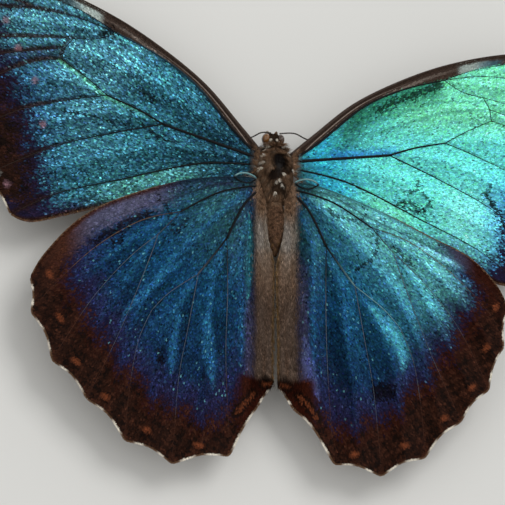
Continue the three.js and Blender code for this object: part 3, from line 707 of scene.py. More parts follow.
def streak(p, places, width):
    """1 along the middle of a line, 0 beyond width from it; it thins out toward both ends."""
    line = spline(places, 0.2)
    number, away = nearest(p, line)
    fullness = np.abs(np.sin(np.pi * number / (len(line) - 1))) ** 0.7 + 1e-3
    return smooth(1.0, 0.1, away / (width * fullness))


def blue_depth(p, edge, corners):
    """How far inside the blue area each place lies."""
    closed = np.vstack([spline(edge, 0.4), corners])
    closed = respace(np.vstack([closed, closed[:1]]), 0.4)
    return depth_in(p, closed)


def rays(p, count):
    """An unevenness in narrow streaks that fan out from the hinge."""
    angle = np.arctan2(p[:, 1], p[:, 0] + 6) * count
    reach = np.hypot(p[:, 0], p[:, 1]) * 0.06
    return (np.sin(angle + reach) + np.sin(2.3 * angle - 1.7 * reach + 1)) / 2


def paint_fore_left(wing, p):
    """The teal of the left forewing, seen away from its gloss, with painted glints along its cell
    and painted light just behind the cell's back veins.
    """
    x, y = p.T
    reach = np.hypot(x, y)
    cell_back = np.vstack([wing.runs["cubitalEnd"], wing.runs["cubitalMid"]])
    edge = near(p, cell_back, 1.1, 0.2) * behind(p, cell_back, 0.15) * smooth(15, 29, x)
    fold = behind(p, wing.runs["median2"]) * (1 - behind(p, wing.runs["median3"]))
    return layered(
        TEAL_ROOT,
        (TEAL, smooth(4, 20, reach)),
        (TEAL_BRIGHT, smooth(19, 30, reach) * smooth(-14, 8, y - 0.1 * x)),
        (TEAL_OUTER, smooth(29, 40, x) * smooth(18, 8, y)),
        (MINT, 0.45 * behind(p, wing.runs["anal2"]) * smooth(4, 16, x) * smooth(30, 21, x)),
        (TURQUOISE_GREEN, 0.5 * edge),
        *((STREAK, 0.7 * near(p, spline(line), 1.2 * width, 0.2)) for line, width in CELL_GLINTS),
        (DUSK * 1.6, 0.6 * fold * smooth(33.5, 37, x)))


def paint_fore_right(wing, p):
    """The turquoise of the right forewing, where its gloss is seen: the gloss is painted into the
    colour, as a painted reflection.
    """
    x, y = p.T
    front = near(p, wing.runs["radialStem"], 6.8, 0.2) * smooth(3, 9, x) * smooth(27, 23, x)
    cell_back, strip = wing.runs["cubitalStem"], behind(p, wing.runs["anal2"])
    lower = near(p, cell_back, 2.3, 0.2) * (1 - behind(p, cell_back, 0.1)) * smooth(3, 7, x)
    return layered(
        SKY_ROOT,
        (SKY, smooth(-1, 4, x + 0.5 * y)),
        (TURQUOISE, smooth(3, 16, x + 0.3 * y)),
        (TURQUOISE_GREEN, 0.85 * smooth(12, 20, x) * smooth(4, 11, y - 0.1 * x)),
        (TURQUOISE_PALE, 0.5 * smooth(22, 29, x) * smooth(3, -5, y)),
        (mix(OLIVE * 0.6, OLIVE, smooth(8, 17, x)), 0.93 * front),
        (CELL_BLUE, 0.7 * lower),
        (TURQUOISE_GREEN, 0.5 * strip * smooth(8, 14, x) * smooth(24, 18, x)),
        (TEAL_BRIGHT, 0.6 * strip * smooth(20, 27, x)),
        *((OLIVE, 0.45 * near(p, spline(line), 0.35)) for line in CELL_LINES),
        (EDGE_BLUE, 0.8 * smooth(30, 40, x) * smooth(6, -2, y)))


def fore_front(wing, x, costa):
    """The forewing's brown front edge, with its pale line, a painted highlight along the subcosta,
    its chalky patch and a teal tip.
    """
    return layered(
        COSTA_BROWN,
        (COSTA_PALE, smooth(0.4, 0.1, np.abs(costa - 1.35)) * smooth(30, 20, x)),
        (CHALK * wing.pick(1.0, 0.7),
         smooth(27.3, 28.8, x) * smooth(34.5, 31, x) * smooth(0.5, 1.1, costa)),
        (TEAL_BRIGHT, 0.5 * smooth(30.5, 32.5, x) * smooth(37, 34.5, x) * smooth(0.7, 1.2, costa)))


def paint_forewing(wing, p, jitter):
    """The upper side of a forewing: its colours, and how much each place gleams."""
    x, y = p.T
    vein, back = wing.vein_distance(p), distance_to(p, wing.back)
    # light is painted light and shade: brighter where a panel between the veins tilts toward the
    # front edge and on the folds' crests, darker beside the veins, with uneven streaks of tone.
    light = (0.3 * wing.facing(p) + 0.12 * rays(p, 26) + 0.12 * ripple(p, 3.2)
             + 0.12 * smooth(1.0, 0.1, wing.crease_distance(p)) - 0.9 * smooth(0.5, 0.1, vein))
    blue = wing.pick(paint_fore_left, paint_fore_right)(wing, p)
    blue = blue * np.exp(wing.pick(1.0, 0.35) * light)[:, None]
    depth = blue_depth(p, FORE_BLUE_EDGE, [(-6, -18), (-6, 30)])
    depth = depth + 0.9 * ripple(p, 2.4) + 1.2 * jitter + wing.pick(0, 1.4)
    rim = layered(
        RIM_BROWN,
        (RIM_DARK, smooth(-0.4, 0.8, ripple(p, 2.6))),
        (RIM_EDGE, 0.6 * smooth(0.2, 0.9, ripple(p + 4, 2.1) + 0.3 * jitter)))
    beside_vein = 0.3 + 0.5 * smooth(27, 42, x)
    brown = smooth(beside_vein, 0.3 * beside_vein, vein) * smooth(27, 38, x)
    pink = spots(p, FORE_DOTS, 0.62, 1.2) * wing.pick(1, smooth(37, 38.5, x))
    front = 1 - behind(p, np.vstack([wing.runs["radialStem"], wing.runs["radial2"]]), 0.15)
    tint = layered(
        rim,
        (DUSK, smooth(-4.5, -0.5, depth)),
        (blue, smooth(-1.2, 2.6, depth)),
        (DUSK * 1.2, 0.85 * smooth(3.6, 1.2, back + 0.5 * jitter) * smooth(22, 31, x)),
        (RIM_BROWN * 1.2, smooth(1.2, 0.4, back) * smooth(17, 30, x)),
        (CHALK, 0.8 * spots(p, FORE_WHITE_DOTS, 0.55)),
        (RIM_BROWN, wing.pick(0.75, 0) * brown),
        (SPOT_PINK, 0.6 * pink),
        (fore_front(wing, x, distance_to(p, wing.front)), front),
        (TAN * 0.8, smooth(0.35, 0.1, back)))
    gleam = smooth(-1.5, 2.5, depth) * (1 - front) * (1 - pink)
    return add_scuffs(wing, p, tint, jitter), gleam


def hind_blue(wing, p, vein, crease):
    """A hindwing's blue, with painted highlights in bright streaks and along its folds; on the
    right one, a painted sheen where it catches the light.
    """
    x, y = p.T
    reach, angle = np.hypot(x, y), np.degrees(np.arctan2(y, x))
    # lit is where the right hindwing's painted sheen lies.
    lit = smooth(-80, -18, angle) * (1 - 0.85 * smooth(27, 38, reach)) * smooth(0, 7, reach)
    blue = layered(
        HIND_ROOT,
        (HIND_MIDDLE, smooth(6, 22, reach)),
        (HIND_OUTER, smooth(20, 38, reach)),
        (mix(HIND_SHADED, HIND_LIT, smooth(-62, -28, angle)), wing.pick(0, 1) * lit),
        (HIND_EDGE, wing.pick(0, 0.8) * smooth(26, 30, x) * smooth(-17, -12, y)))
    # light is painted light and shade: brighter where a panel tilts toward the front edge, darker
    # beside the veins, with uneven streaks of tone, and darker toward the hind inner part.
    light = (0.28 * wing.facing(p) + 0.16 * rays(p, 30) + 0.16 * ripple(p, 3.0)
             - 0.5 * smooth(0.45, 0.1, vein) - 0.3 * smooth(-20, -27, y) * smooth(16, 10, x))
    bright, share = wing.pick((HIND_STREAK * 1.25, 0.4), (STREAK_LIT, 0.6))
    return layered(
        blue * np.exp(light)[:, None],
        (HIND_STREAK, 0.4 * smooth(0.9, 0.1, crease) * smooth(36, 24, reach)),
        *((bright, share * streak(p, *line)) for line in HIND_HIGHLIGHTS[wing.name]))


def hind_blue_depth(wing, p, crease, jitter):
    """How far inside its blue each place of a hindwing lies; the blue has ragged fingers."""
    x, y = p.T
    depth = blue_depth(p, HIND_BLUE_EDGE, [(-1.4, -28), (-1.4, 3)]) - 1.2 * smooth(-30, -37, y)
    depth = depth + wing.pick(0, 5 * smooth(27, 20, x) * smooth(-16, -8, y)
                              - 1.1 * smooth(14, 20, x) * smooth(-15, -22, y))
    fingers = 1.3 * smooth(1.2, 0.2, crease) + 0.8 * rays(p, 30)
    return depth + fingers * smooth(7, 3, depth) + 0.6 * ripple(p, 2.0) + 0.8 * jitter


def hind_rim(wing, p, vein, depth, jitter):
    """A hindwing's brown border, blotched, and redder toward the blue."""
    blots = ripple(p, 0.9) + 0.8 * ripple(p + 7, 2.2) + 0.5 * jitter
    edge = 0.5 * smooth(1.6, 0.4, distance_to(p, wing.margin)) + 0.3 * smooth(0.7, 0.1, vein)
    return layered(
        RIM_BROWN,
        (RIM_RED, smooth(-6, -1.5, depth)),
        (RIM_EDGE, edge),
        (RIM_DARK * 0.6, 0.85 * smooth(0.1, 0.9, blots) * smooth(0, 2, -depth)),
        (RIM_EDGE * 1.3, 0.4 * smooth(0.4, 1.2, -blots) * smooth(0, 2, -depth)))


def hind_front(wing, p, costa, jitter):
    """The band along a hindwing's front edge: its colours, and its share at each place."""
    x = p[:, 0]
    if wing.side > 0:
        share = smooth(3.4, 1.6, costa) * smooth(24, 30, x) * smooth(37, 34, x)
        return mix(PURPLE_GREY * 0.7, RIM_RED, smooth(28, 32, x)), share
    share = smooth(4.8, 2.2, costa + 0.5 * ripple(p, 1.6) + 0.4 * jitter) * smooth(11, 20, x)
    grey = PURPLE_GREY * np.exp(0.25 * ripple(p, 0.8))[:, None]
    brown = np.clip(smooth(27, 33, x) + smooth(1.2, 0.2, costa), 0, 1)
    return mix(grey, RIM_EDGE, brown), share * smooth(37.5, 33, x)


def inner_fold(wing, p):
    """The hairy part of a hindwing that is bent down beside the abdomen."""
    x, y = p.T
    # lit is where a painted sheen of FOLD_LIT lies on the fold's hair.
    lit = smooth(0.9, 0.2, np.abs(x + wing.pick(1.1, 1.8)) + 0.2 * ripple(p, 2))
    seam = smooth(0.6, 0.15, distance_to(p, wing.back)) * smooth(-11, -13, y)
    return layered(
        FOLD_GREY,
        (FOLD_BROWN, 0.85 * smooth(-9, -19, y)),
        (HAIR_BROWN, 0.5 * smooth(-0.2, 0.9, ripple(p * (3, 0.35), 2.4))),
        (FOLD_LIT, 0.6 * lit * smooth(-4.2, -7, y) * smooth(-15, -9.5, y)),
        (HAIR_WARM, 0.8 * smooth(-7, -3.4, y)),
        (HAIR_WARM * 1.2, 0.35 * smooth(-10, -12, y) * smooth(-22, -15, y)),
        (HAIR_OCHRE * 0.55, 0.8 * seam))


def hind_corner(p, jitter):
    """The layers at a hindwing's hind corner: red, with rusty streaks between dark ones."""
    x, y = p.T
    layers = [(RIM_RED, smooth(-33.2, -34.6, y) * smooth(3.4, 1.6, x))]
    for line in CORNER_STREAKS:
        away = distance_to(p, spline(line, 0.2)) + 0.15 * jitter
        layers += [(RIM_DARK, 0.9 * smooth(1.1, 0.6, away)),
                   (RUST * 0.6, 0.75 * smooth(0.45, 0.1, away))]
    return [*layers, (RIM_DARK * 0.6, 0.8 * spots(p, [(-2.2, -33.8)], 0.7))]


def paint_hindwing(wing, p, jitter):
    """The upper side of a hindwing: its colours, and how much each place gleams."""
    x, y = p.T
    vein, crease = wing.vein_distance(p), wing.crease_distance(p)
    costa = distance_to(p, wing.front)
    blue = hind_blue(wing, p, vein, crease)
    depth = hind_blue_depth(wing, p, crease, jitter)
    band_tint, band = hind_front(wing, p, costa, jitter)
    # glare is a painted glare on the right hindwing's front band.
    glare = smooth(0.8, 0.2, np.abs(costa - 2.6)) * smooth(19, 23, x) * smooth(30, 26, x)
    inner = smooth(0.5, -0.9, x + 0.15 * ripple(p, 3) + 0.3 * jitter) * smooth(-38.5, -35, y)
    blush = smooth(2.2, 0.2, x) * (1 - inner) * smooth(*wing.pick((-16, -25), (-10, -20)), y)
    # glow is a painted sheen beside the inner fold.
    glow, share, line, width = INNER_SHEEN[wing.name]
    tint = layered(
        hind_rim(wing, p, vein, depth, jitter),
        (DUSK, smooth(-2.6, 0.4, depth)),
        (mix(blue, DUSK * 1.6, 0.6), smooth(-0.8, 2.0, depth)),
        (blue, smooth(1.4, 6.5, depth)),
        (band_tint, 0.9 * band),
        (RUST, 0.6 * spots(p, HIND_EMBERS, 0.55, 1.7)),
        (HIND_GLARE, wing.pick(0, 0.65) * glare),
        (mix(PURPLE_GREY, DUSK, 0.3), 0.7 * blush),
        (glow, share * streak(p, line, width)),
        (inner_fold(wing, p), inner),
        *hind_corner(p, jitter),
        (HIND_ROOT * 0.5, 0.6 * near(p, HUMERAL_LOOP, 0.7)))
    gleam = smooth(-1.2, 2.2, depth) * (1 - inner) * (1 - 0.7 * band)
    return add_scuffs(wing, p, tint, jitter), gleam


def add_scuffs(wing, p, tint, jitter):
    """Ragged dark marks where scales are worn off."""
    for line, width in SCUFFS[wing.name]:
        unevenness = min(0.7 * width, 0.35) * (ripple(p, 0.6) + jitter)
        away = distance_to(p, spline(line)) + unevenness
        worn = mix(tint * 0.12, RIM_DARK, 0.35)
        tint = mix(tint, worn, 0.88 * smooth(1.3 * width, 0.7 * width, away))
    return tint


# The underside's eyespots, each a place and a radius, from the front backward, and the pale
# bands that cross it, each a line and its half width.
EYESPOTS = {
    "forewing": [((51.5, 15), 1.3), ((47.5, 10.4), 1.9), ((38.8, -1.6), 2.6)],
    "hindwing": [((28.6, -12.8), 2.9), ((24.4, -25.6), 2.1), ((20.2, -32.6), 2.1),
                 ((9.4, -36.6), 2.8)],
}
BANDS = {
    "forewing": [([(31, 26), (34.5, 17), (36.4, 8), (33, -1), (30, -9), (28.5, -15)], 0.9),
                 ([(14, 17), (16.6, 9), (15.4, 2), (13, -9)], 0.6)],
    "hindwing": [([(25.6, -4), (22.8, -14), (17.5, -24), (10, -30), (1, -28), (-5, -24)], 1.0),
                 ([(13, 1), (11.8, -9), (7, -17), (-4, -17)], 0.6)],
}
# The rings of an eyespot, each a share of its radius and a colour.
EYESPOT_RINGS = [(1.35, UNDER_DARK), (1.2, UNDER_YELLOW), (0.92, UNDER_DARK * 0.4),
                 (0.42, UNDER_BLUE), (0.2, CHALK)]
# Pale lines along the margin: how far from it, and the half width.
MARGIN_LINES = [(1.5, 0.35), (3.1, 0.3)]


def paint_underside(wing, p):
    """The brown underside, with eyespots and pale lines that follow the margin."""
    margin = distance_to(p, wing.margin) + 0.3 * ripple(p, 3)
    tint = mix(UNDER_BROWN, UNDER_DARK, 0.6 * smooth(-0.2, 0.9, ripple(p, 6)))
    for inset, width in MARGIN_LINES:
        tint = mix(tint, UNDER_PALE, 0.7 * smooth(width, 0.4 * width, np.abs(margin - inset)))
    for band, width in BANDS[wing.kind]:
        away = distance_to(p, spline(band, 0.3)) + 0.3 * ripple(p, 2)
        tint = mix(tint, UNDER_DARK, 0.5 * smooth(1.7 * width, width, away))
        tint = mix(tint, UNDER_PALE, 0.75 * smooth(width, 0.6 * width, away))
    for (x, y), radius in EYESPOTS[wing.kind]:
        away = np.hypot(p[:, 0] - x, (p[:, 1] - y) * 0.9) / radius
        for reach, ring in EYESPOT_RINGS:
            tint = mix(tint, ring, smooth(reach, reach - 0.1, away))
    return tint


def paint(wing, p, jitter=0):
    """The upper side. jitter scatters single scales across the edges of its markings."""
    return (paint_forewing if wing.is_fore else paint_hindwing)(wing, p, jitter)


# ---------------------------------------------------------------- materials


def connect(material, node, inputs):
    """Sets a node's inputs to values, or links them where another node's output is given."""
    for key, value in inputs.items():
        if isinstance(value, bpy.types.NodeSocket):
            material.node_tree.links.new(value, node.inputs[key])
        else:
            node.inputs[key].default_value = value


def add_node(material, kind, inputs, **settings):
    node = material.node_tree.nodes.new("ShaderNode" + kind)
    for key, value in settings.items():
        setattr(node, key, value)
    connect(material, node, inputs)
    return node


def new_material(name, roughness, specular=0.3, coat=0.0):
    """A principled material and its shader, ready to extend."""
    material = bpy.data.materials.new(name)
    material.use_nodes = True
    shader = material.node_tree.nodes["Principled BSDF"]
    connect(material, shader, {
        "Roughness": roughness, "Specular IOR Level": specular, "Coat Weight": coat})
    return material, shader


def tinted(name, roughness, grain, depth, spread=(0.75, 1.25), gleam=0.0, **finish):
    """The mesh's tint, made lighter and darker by noise whose grains are grain mm across.

    gleam is how metallic the material is where the mesh's own gleam is 1."""
    material, shader = new_material(name, roughness, **finish)
    place = add_node(material, "TexCoord", {})
    noise = add_node(material, "TexNoise", {
        "Vector": place.outputs["Object"], "Scale": 1 / (grain * MM), "Detail": 4})
    level = add_node(material, "MapRange", {
        "Value": noise.outputs["Fac"], "From Min": 0.3, "From Max": 0.7,
        "To Min": spread[0], "To Max": spread[1]})
    tint = add_node(material, "Attribute", {}, attribute_name="tint")
    varied = add_node(material, "VectorMath", {
        0: tint.outputs["Color"], "Scale": level.outputs["Result"]}, operation="SCALE")
    bump = add_node(material, "Bump", {
        "Height": noise.outputs["Fac"], "Strength": depth, "Distance": 0.1 * MM})
    surface = {"Base Color": varied.outputs["Vector"], "Normal": bump.outputs["Normal"]}
    if gleam:
        shine = add_node(material, "Attribute", {}, attribute_name="gleam")
        share = add_node(material, "Math", {
            0: shine.outputs["Fac"], 1: gleam}, operation="MULTIPLY")
        surface["Metallic"] = share.outputs["Value"]
    connect(material, shader, surface)
    return material


MATERIALS = {
    "scales": tinted("wing_scales", 0.4, 0.2, 0.2, (0.7, 1.35), gleam=0.35, specular=0.02),
    "membrane": tinted("wing_membrane", 0.6, 0.3, 0.5, (0.6, 1.3), specular=0.02),
    "veins": tinted("wing_veins", 0.45, 0.5, 0.3, specular=0.12),
    "fringe": tinted("wing_fringe", 0.7, 0.4, 0.1, (0.85, 1.1), specular=0.05),
    "under": tinted("wing_underside_scales", 0.7, 0.4, 0.2, specular=0.05),
    "skin": tinted("body_skin", 0.3, 0.5, 0.25, specular=0.05),
    "hair": tinted("body_hair", 0.6, 0.8, 0.1, specular=0.04),
    "chitin": tinted("leg_chitin", 0.35, 0.3, 0.5, specular=0.35),
    "eye": tinted("eye_lenses", 0.16, 0.5, 0.1, specular=0.5, coat=0.6),
}

# ---------------------------------------------------------------- building the wings

# A scale is a thin curved shingle: root, shoulders, blunt tip, and a keel that closes it below.
# Columns: across, along, up.
SCALE = np.array([(0, 0, 0), (-0.5, 0.42, 0.45), (-0.3, 1, 1), (0.3, 1, 1), (0.5, 0.42, 0.45),
                  (0, 0.5, 0.1)], float)
SCALE_FACES = outward(SCALE, np.array(
    [(0, 4, 3), (0, 3, 2), (0, 2, 1), (0, 1, 5), (1, 2, 5), (2, 3, 5), (3, 4, 5), (4, 0, 5)]))

# The spacing of the rows on each wing, and the pole that they run round.
ROW_STEP = {"forewing": 0.3, "hindwing": 0.31}
FAN_POLE = {"forewing": (-7.0, -1.0), "hindwing": (-3.0, 6.0)}
UNDER_STEP = 0.56                    # spacing of the rows on the underside
FIRST_ROW = 3.0                      # radius of the innermost row
STEP_ACROSS = 0.86                   # spacing in a row against the spacing of rows
ROOT_SCATTER = 0.05                  # how far a scale's root strays from its row
SCALE_YAW = 0.14                     # how far a scale turns from its lie, in radians
TIP_SWAY = 0.1                       # how far its tip leans to one side, against its width
SCALE_LENGTH = (1.7, 2.3)            # shortest and longest, against the step
SCALE_WIDTH = (0.95, 1.2)            # narrowest and widest, against the step
SCALE_RISE = 0.1                     # how far a scale's tip stands off the wing
BACKWARD_LIE = np.array([[-0.1, -1.0]])    # the scales' lie on a hindwing's inner fold
# How unlike each other the scales are, in tone and painted glitter, and what share of them carries
# a painted glint.
GLITTER = {"forewing_left": (0.66, 0.02), "forewing_right": (0.27, 0.008),
           "hindwing_left": (0.36, 0.01), "hindwing_right": (0.33, 0.01)}
# BRIGHT_SCALES carry a painted glint; DULL_SCALES are dull or missing.
BRIGHT_SCALES, DULL_SCALES = 0.02, 0.05    # the shares that are brighter, and dull or missing
BRIGHTER, DULLER = 1.7, 0.65         # how bright the first are, and how much the others lose
HUE_SPREAD = 0.09                    # how far single scales turn greener or bluer


def wing_patches(wing, p):
    """Places on the wing's own flat drawing, as OFBake coordinates."""
    low, high = wing.outline.min(0), wing.outline.max(0)
    return 0.01 + 0.98 * (p - low) / (high - low).max()


def fan_rows(wing, step):
    """Roots in rows round a pole near the body, so that the rows face the margin."""
    pole = np.array(FAN_POLE[wing.kind])
    furthest = np.linalg.norm(wing.outline - pole, axis=1).max()
    rows = []
    for row, radius in enumerate(np.arange(FIRST_ROW, furthest, step)):
        count = int(2 * np.pi * radius / (step * STEP_ACROSS))
        angle = 2 * np.pi * (np.arange(count) + 0.5 * (row % 2)) / count
        rows.append(pole + radius * np.stack([np.cos(angle), np.sin(angle)], 1))
    roots = np.vstack(rows)
    roots += CHANCE.normal(0, ROOT_SCATTER, roots.shape)
    roots = roots[is_inside(roots, wing.inner_line())]
    return roots[distance_to(roots, wing.outline) > 0.2], pole


def scale_coat(wing, upper):
    """Overlapping scales in rows over one side of a wing."""
    step = ROW_STEP[wing.kind] if upper else UNDER_STEP
    p, pole = fan_rows(wing, step)
    lie = unit(p - pole)
    if not wing.is_fore:
        lie = unit(mix(lie, BACKWARD_LIE, smooth(2.5, -1, p[:, 0])))
    count = len(p)
    face = 1 if upper else -1
    normal = wing.normal(p) * face
    along = laid_flat(wing.turned(lie), normal)
    yaw = CHANCE.normal(0, SCALE_YAW, count)[:, None]
    along = unit(along + np.cross(normal, along) * yaw)
    across = np.cross(along, normal)
    tip = CHANCE.normal(0, TIP_SWAY, count)[:, None]
    room = np.maximum(distance_to(p, wing.outline) - 0.3, 0.15)
    length = np.minimum(step * CHANCE.uniform(*SCALE_LENGTH, count), room)[:, None]
    width = step * CHANCE.uniform(*SCALE_WIDTH, count)[:, None]
    rise = SCALE_RISE * CHANCE.uniform(0.7, 1.3, count)[:, None]
    points, triangles = scatter(
        SCALE, SCALE_FACES, wing.placed(p, MEMBRANE / 2 * face),
        across * width, along * length, normal * rise + across * tip * width)
    if upper:
        tint, gleam = paint(wing, p, CHANCE.normal(0, 1, count))
        tint = glitter(tint, gleam, *GLITTER[wing.name])
    else:
        tint = paint_underside(wing, p) * CHANCE.uniform(0.8, 1.2, (count, 1))
        gleam = np.zeros(count)
    make_piece(
        f"scales_{'upper' if upper else 'under'}_{wing.name}", points, triangles,
        MATERIALS["scales" if upper else "under"], wing.kind,
        np.repeat(tint, len(SCALE), axis=0), smooth_faces=False,
        patches=tuft_patches(wing_patches(wing, p), SCALE),
        gleam=np.repeat(gleam, len(SCALE)))


def glitter(tint, gleam, spread, sparks):
    """Each scale brighter or darker, greener or bluer, partly painted glitter; a few carry a
    painted glint, and a few are dull or missing.
    """
    count = len(tint)
    glint = np.exp(CHANCE.normal(-0.5 * spread ** 2, spread, count) * (0.4 + 0.6 * gleam))
    chance = CHANCE.random(count)
    glint = np.where(chance > 1 - BRIGHT_SCALES, glint * BRIGHTER, glint)
    glint = np.where(chance < DULL_SCALES, glint * (1 - DULLER * gleam), glint)
    hue = CHANCE.normal(0, HUE_SPREAD, count) * gleam
    turned = tint * np.exp(np.stack([0.3 * hue, hue, -hue], 1))
    spark = np.where(CHANCE.random(count) < sparks, 0.2 * gleam, 0)
    return np.clip(mix(turned * glint[:, None], SPARK, spark), 0, 0.95)


LATTICE_STEP = 0.75                  # spacing of the points inside a membrane
ROW_RISE = 0.866                     # spacing of their rows against it, for even triangles
THICK_INSIDE = 2.0                   # the membrane has its full thickness this far from its edge


def lattice_in(edge):
    """Points in staggered rows inside a closed line."""
    low, high = edge.min(0), edge.max(0)
    rows = []
    for i, y in enumerate(np.arange(low[1], high[1], LATTICE_STEP * ROW_RISE)):
        x = np.arange(low[0] + LATTICE_STEP / 2 * (i % 2), high[0], LATTICE_STEP)
        rows.append(np.stack([x, np.full(len(x), y)], 1))
    lattice = np.vstack(rows)
    lattice = lattice[is_inside(lattice, edge)]
    return lattice[distance_to(lattice, edge) > 0.4 * LATTICE_STEP]


def membrane(wing):
    """A thin closed plate, painted like the scales above and the underside below."""
    edge = wing.inner_line()
    flat = [Vector(p) for p in np.vstack([edge, lattice_in(edge)])]
    only_inside, tolerance = 1, 1e-5
    found = delaunay_2d_cdt(flat, [], [list(range(len(edge)))], only_inside, tolerance)
    p = np.array([tuple(v) for v in found[0]])
    faces = np.array(found[2])
    count = len(p)
    inward = smooth(0, THICK_INSIDE, distance_to(p, edge))
    thick = MEMBRANE_EDGE + (MEMBRANE - MEMBRANE_EDGE) * inward
    points = np.vstack([wing.placed(p, thick / 2), wing.placed(p, -thick / 2)])
    directed = np.vstack([faces[:, [0, 1]], faces[:, [1, 2]], faces[:, [2, 0]]])
    known = {(a, b) for a, b in directed.tolist()}
    a, b = np.array([(a, b) for a, b in known if (b, a) not in known]).T
    triangles = np.vstack([faces, faces[:, ::-1] + count, np.stack([b, a, a + count], 1),
                           np.stack([b, a + count, b + count], 1)])
    tint = np.vstack([paint(wing, p)[0], paint_underside(wing, p)])
    piece = make_piece(f"membrane_{wing.name}", points, outward(points, triangles),
                       MATERIALS["membrane"], wing.kind, tint)
    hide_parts(wing.name)


# How thick the veins are against each other; "other" stands for those without a name here.
VEIN_WEIGHT = {
    "forewing": {"radialStem": 1.15, "cubitalStem": 1.3, "cubitalMid": 1.1, "crossFront": 0.9,
                 "crossBack": 0.9, "subcosta": 0.5, "costa": 1.36, "other": 0.8},
    "hindwing": {"sectorStem": 0.8, "cubitalStem": 1.04, "cubitalMid": 0.88, "subcosta": 0.4,
                 "sector": 0.48, "costa": 0.2976, "humeral": 0.62, "other": 0.496},
}
VEIN_SIDES = 8
VEIN_LIFT = 0.07                     # how far a vein's middle lies over the membrane's
VEIN_STEP, LOOP_STEP = 0.6, 0.2      # spacing of the rings on a vein and on the small loop


def forewing_vein(wing, name, run):
    """Forewing veins are dark, the one behind the front edge pale at its root with a painted
    highlight.
    """
    x = run[:, 0]
    if name == "costa":
        return np.broadcast_to(COSTA_BROWN, (len(run), 3))
    if name == "subcosta":
        return mix(COSTA_PALE * 1.5, COSTA_BROWN, smooth(8, 22, x))
    dark = mix(VEIN_DARK, COSTA_BROWN * 0.6, smooth(30, 44, x))
    if name == "radialStem" and wing.side < 0:
        return mix(TEAL_ROOT * 0.6, dark, smooth(12, 4, x))
    return dark


def hindwing_vein(wing, name, run):
    """Hindwing veins turn pale away from the hinge."""
    if name == "costa":
        inside = run + np.array([0, -0.9])
        return mix(paint(wing, inside)[0] * 0.8, TAN * 0.8, smooth(12, 22, run[:, 0]))
    # VEIN_LIT is a painted highlight: on the top of the small loop, and on two of the right
    # hindwing's veins.
    if name == "humeral":
        return mix(VEIN_DARK, VEIN_LIT, 0.7 * smooth(1.0, 1.6, run[:, 1]))
    if name == "subcosta":
        return paint(wing, run)[0] * 0.6
    lit = wing.side > 0 and name in ("cubitalMid", "cubitalEnd")
    pale = TAN * 0.8 if name == "sector" else VEIN_LIT if lit else VEIN_PALE
    return layered(VEIN_DARK, (pale, smooth(12, 24, np.linalg.norm(run, axis=1)) * 0.7),
                   (RIM_EDGE, smooth(9, 6, distance_to(run, wing.margin))))


def vein_tubes(wing):
    """The veins stand up as ribs on the membrane, thick at the hinge and fine at the margin."""
    bundle = Bundle()
    colour = forewing_vein if wing.is_fore else hindwing_vein
    weights = VEIN_WEIGHT[wing.kind]
    runs = {name: respace(run, VEIN_STEP) for name, run in wing.runs.items()}
    if not wing.is_fore:
        runs["humeral"] = respace(HUMERAL_LOOP, LOOP_STEP)
    for name, line in runs.items():
        line = line[distance_to(line, wing.margin) > VEIN_END]
        reach = np.linalg.norm(line, axis=1)
        half = VEIN_ROOT + (VEIN_TIP - VEIN_ROOT) * smooth(0, VEIN_FADE, reach)
        half = half * weights.get(name, weights["other"])
        half = half * (0.35 + 0.65 * smooth(0.2, 3, distance_to(line, wing.margin)))
        # A vein is lower than it is wide, and its foot is always inside the membrane.
        body = tube(wing.placed(line, VEIN_LIFT), half, 0.75 * half + 0.08, VEIN_SIDES)
        bundle.add(body, tube_tints(colour(wing, name, line), VEIN_SIDES))
    points, triangles, tint = bundle.arrays()
    make_piece(f"veins_{wing.name}", points, triangles, MATERIALS["veins"], wing.kind, tint)


# A vane of the fringe: flat, blunt and closed by a keel. Columns: across, along, up.
VANE = np.array([(-0.35, 0, 0), (0.35, 0, 0), (0.5, 0.7, 0), (0, 1, 0), (-0.5, 0.7, 0),
                 (0, 0.5, 0.5), (0, 0.5, -0.5)], float)
VANE_FACES = outward(VANE, np.array(
    [(0, 1, 5), (1, 2, 5), (2, 3, 5), (3, 4, 5), (4, 0, 5),
     (1, 0, 6), (2, 1, 6), (3, 2, 6), (4, 3, 6), (0, 4, 6)]))
VANE_WIDTH, VANE_THICKNESS = 0.17, 0.06
MARGIN_VANES, EDGE_VANES = 0.085, 0.14    # spacing of the vanes on the margin and on the edges
EDGE_VANE_LENGTH = 0.5
EDGE_ENDS = slice(8, -5)             # the places on an edge that bear vanes
EDGE_TAN = {"forewing": 0.3, "hindwing": 0.8}    # how tan the vanes on the edges get
# The fringe's two rows: how far inside the outline they root, their length, and how tan and how
# white they get.
FRINGE_ROWS = [(0.68, 0.46, 0.1, 0.0), (0.42, 0.48, 0.45, 1.0)]
DASHES = (0.27, 0.72)                # the middles of a bay's two white dashes
DASH_HALF = (0.07, 0.13)             # the smallest and largest half width of a dash


def margin_fringe(wing):
    """Roots, directions, lengths and tints of the vanes round the margin, in rows."""
    for bay in wing.bays:
        line = respace(bay, MARGIN_VANES)
        t = np.linspace(0, 1, len(line))
        out = outward_of(line)
        dash = np.zeros(len(line))
        for middle in DASHES:
            half = CHANCE.uniform(*DASH_HALF)
            dash += CHANCE.uniform(0.7, 1.05) * smooth(half * 1.6, half * 0.4, np.abs(t - middle))
        for inset, reach, brown, pale in FRINGE_ROWS:
            tint = mix(mix(RIM_BROWN, TAN, brown), FRINGE_WHITE, dash * pale)
            yield line - out * inset, out, reach + 0.05 * dash, tint


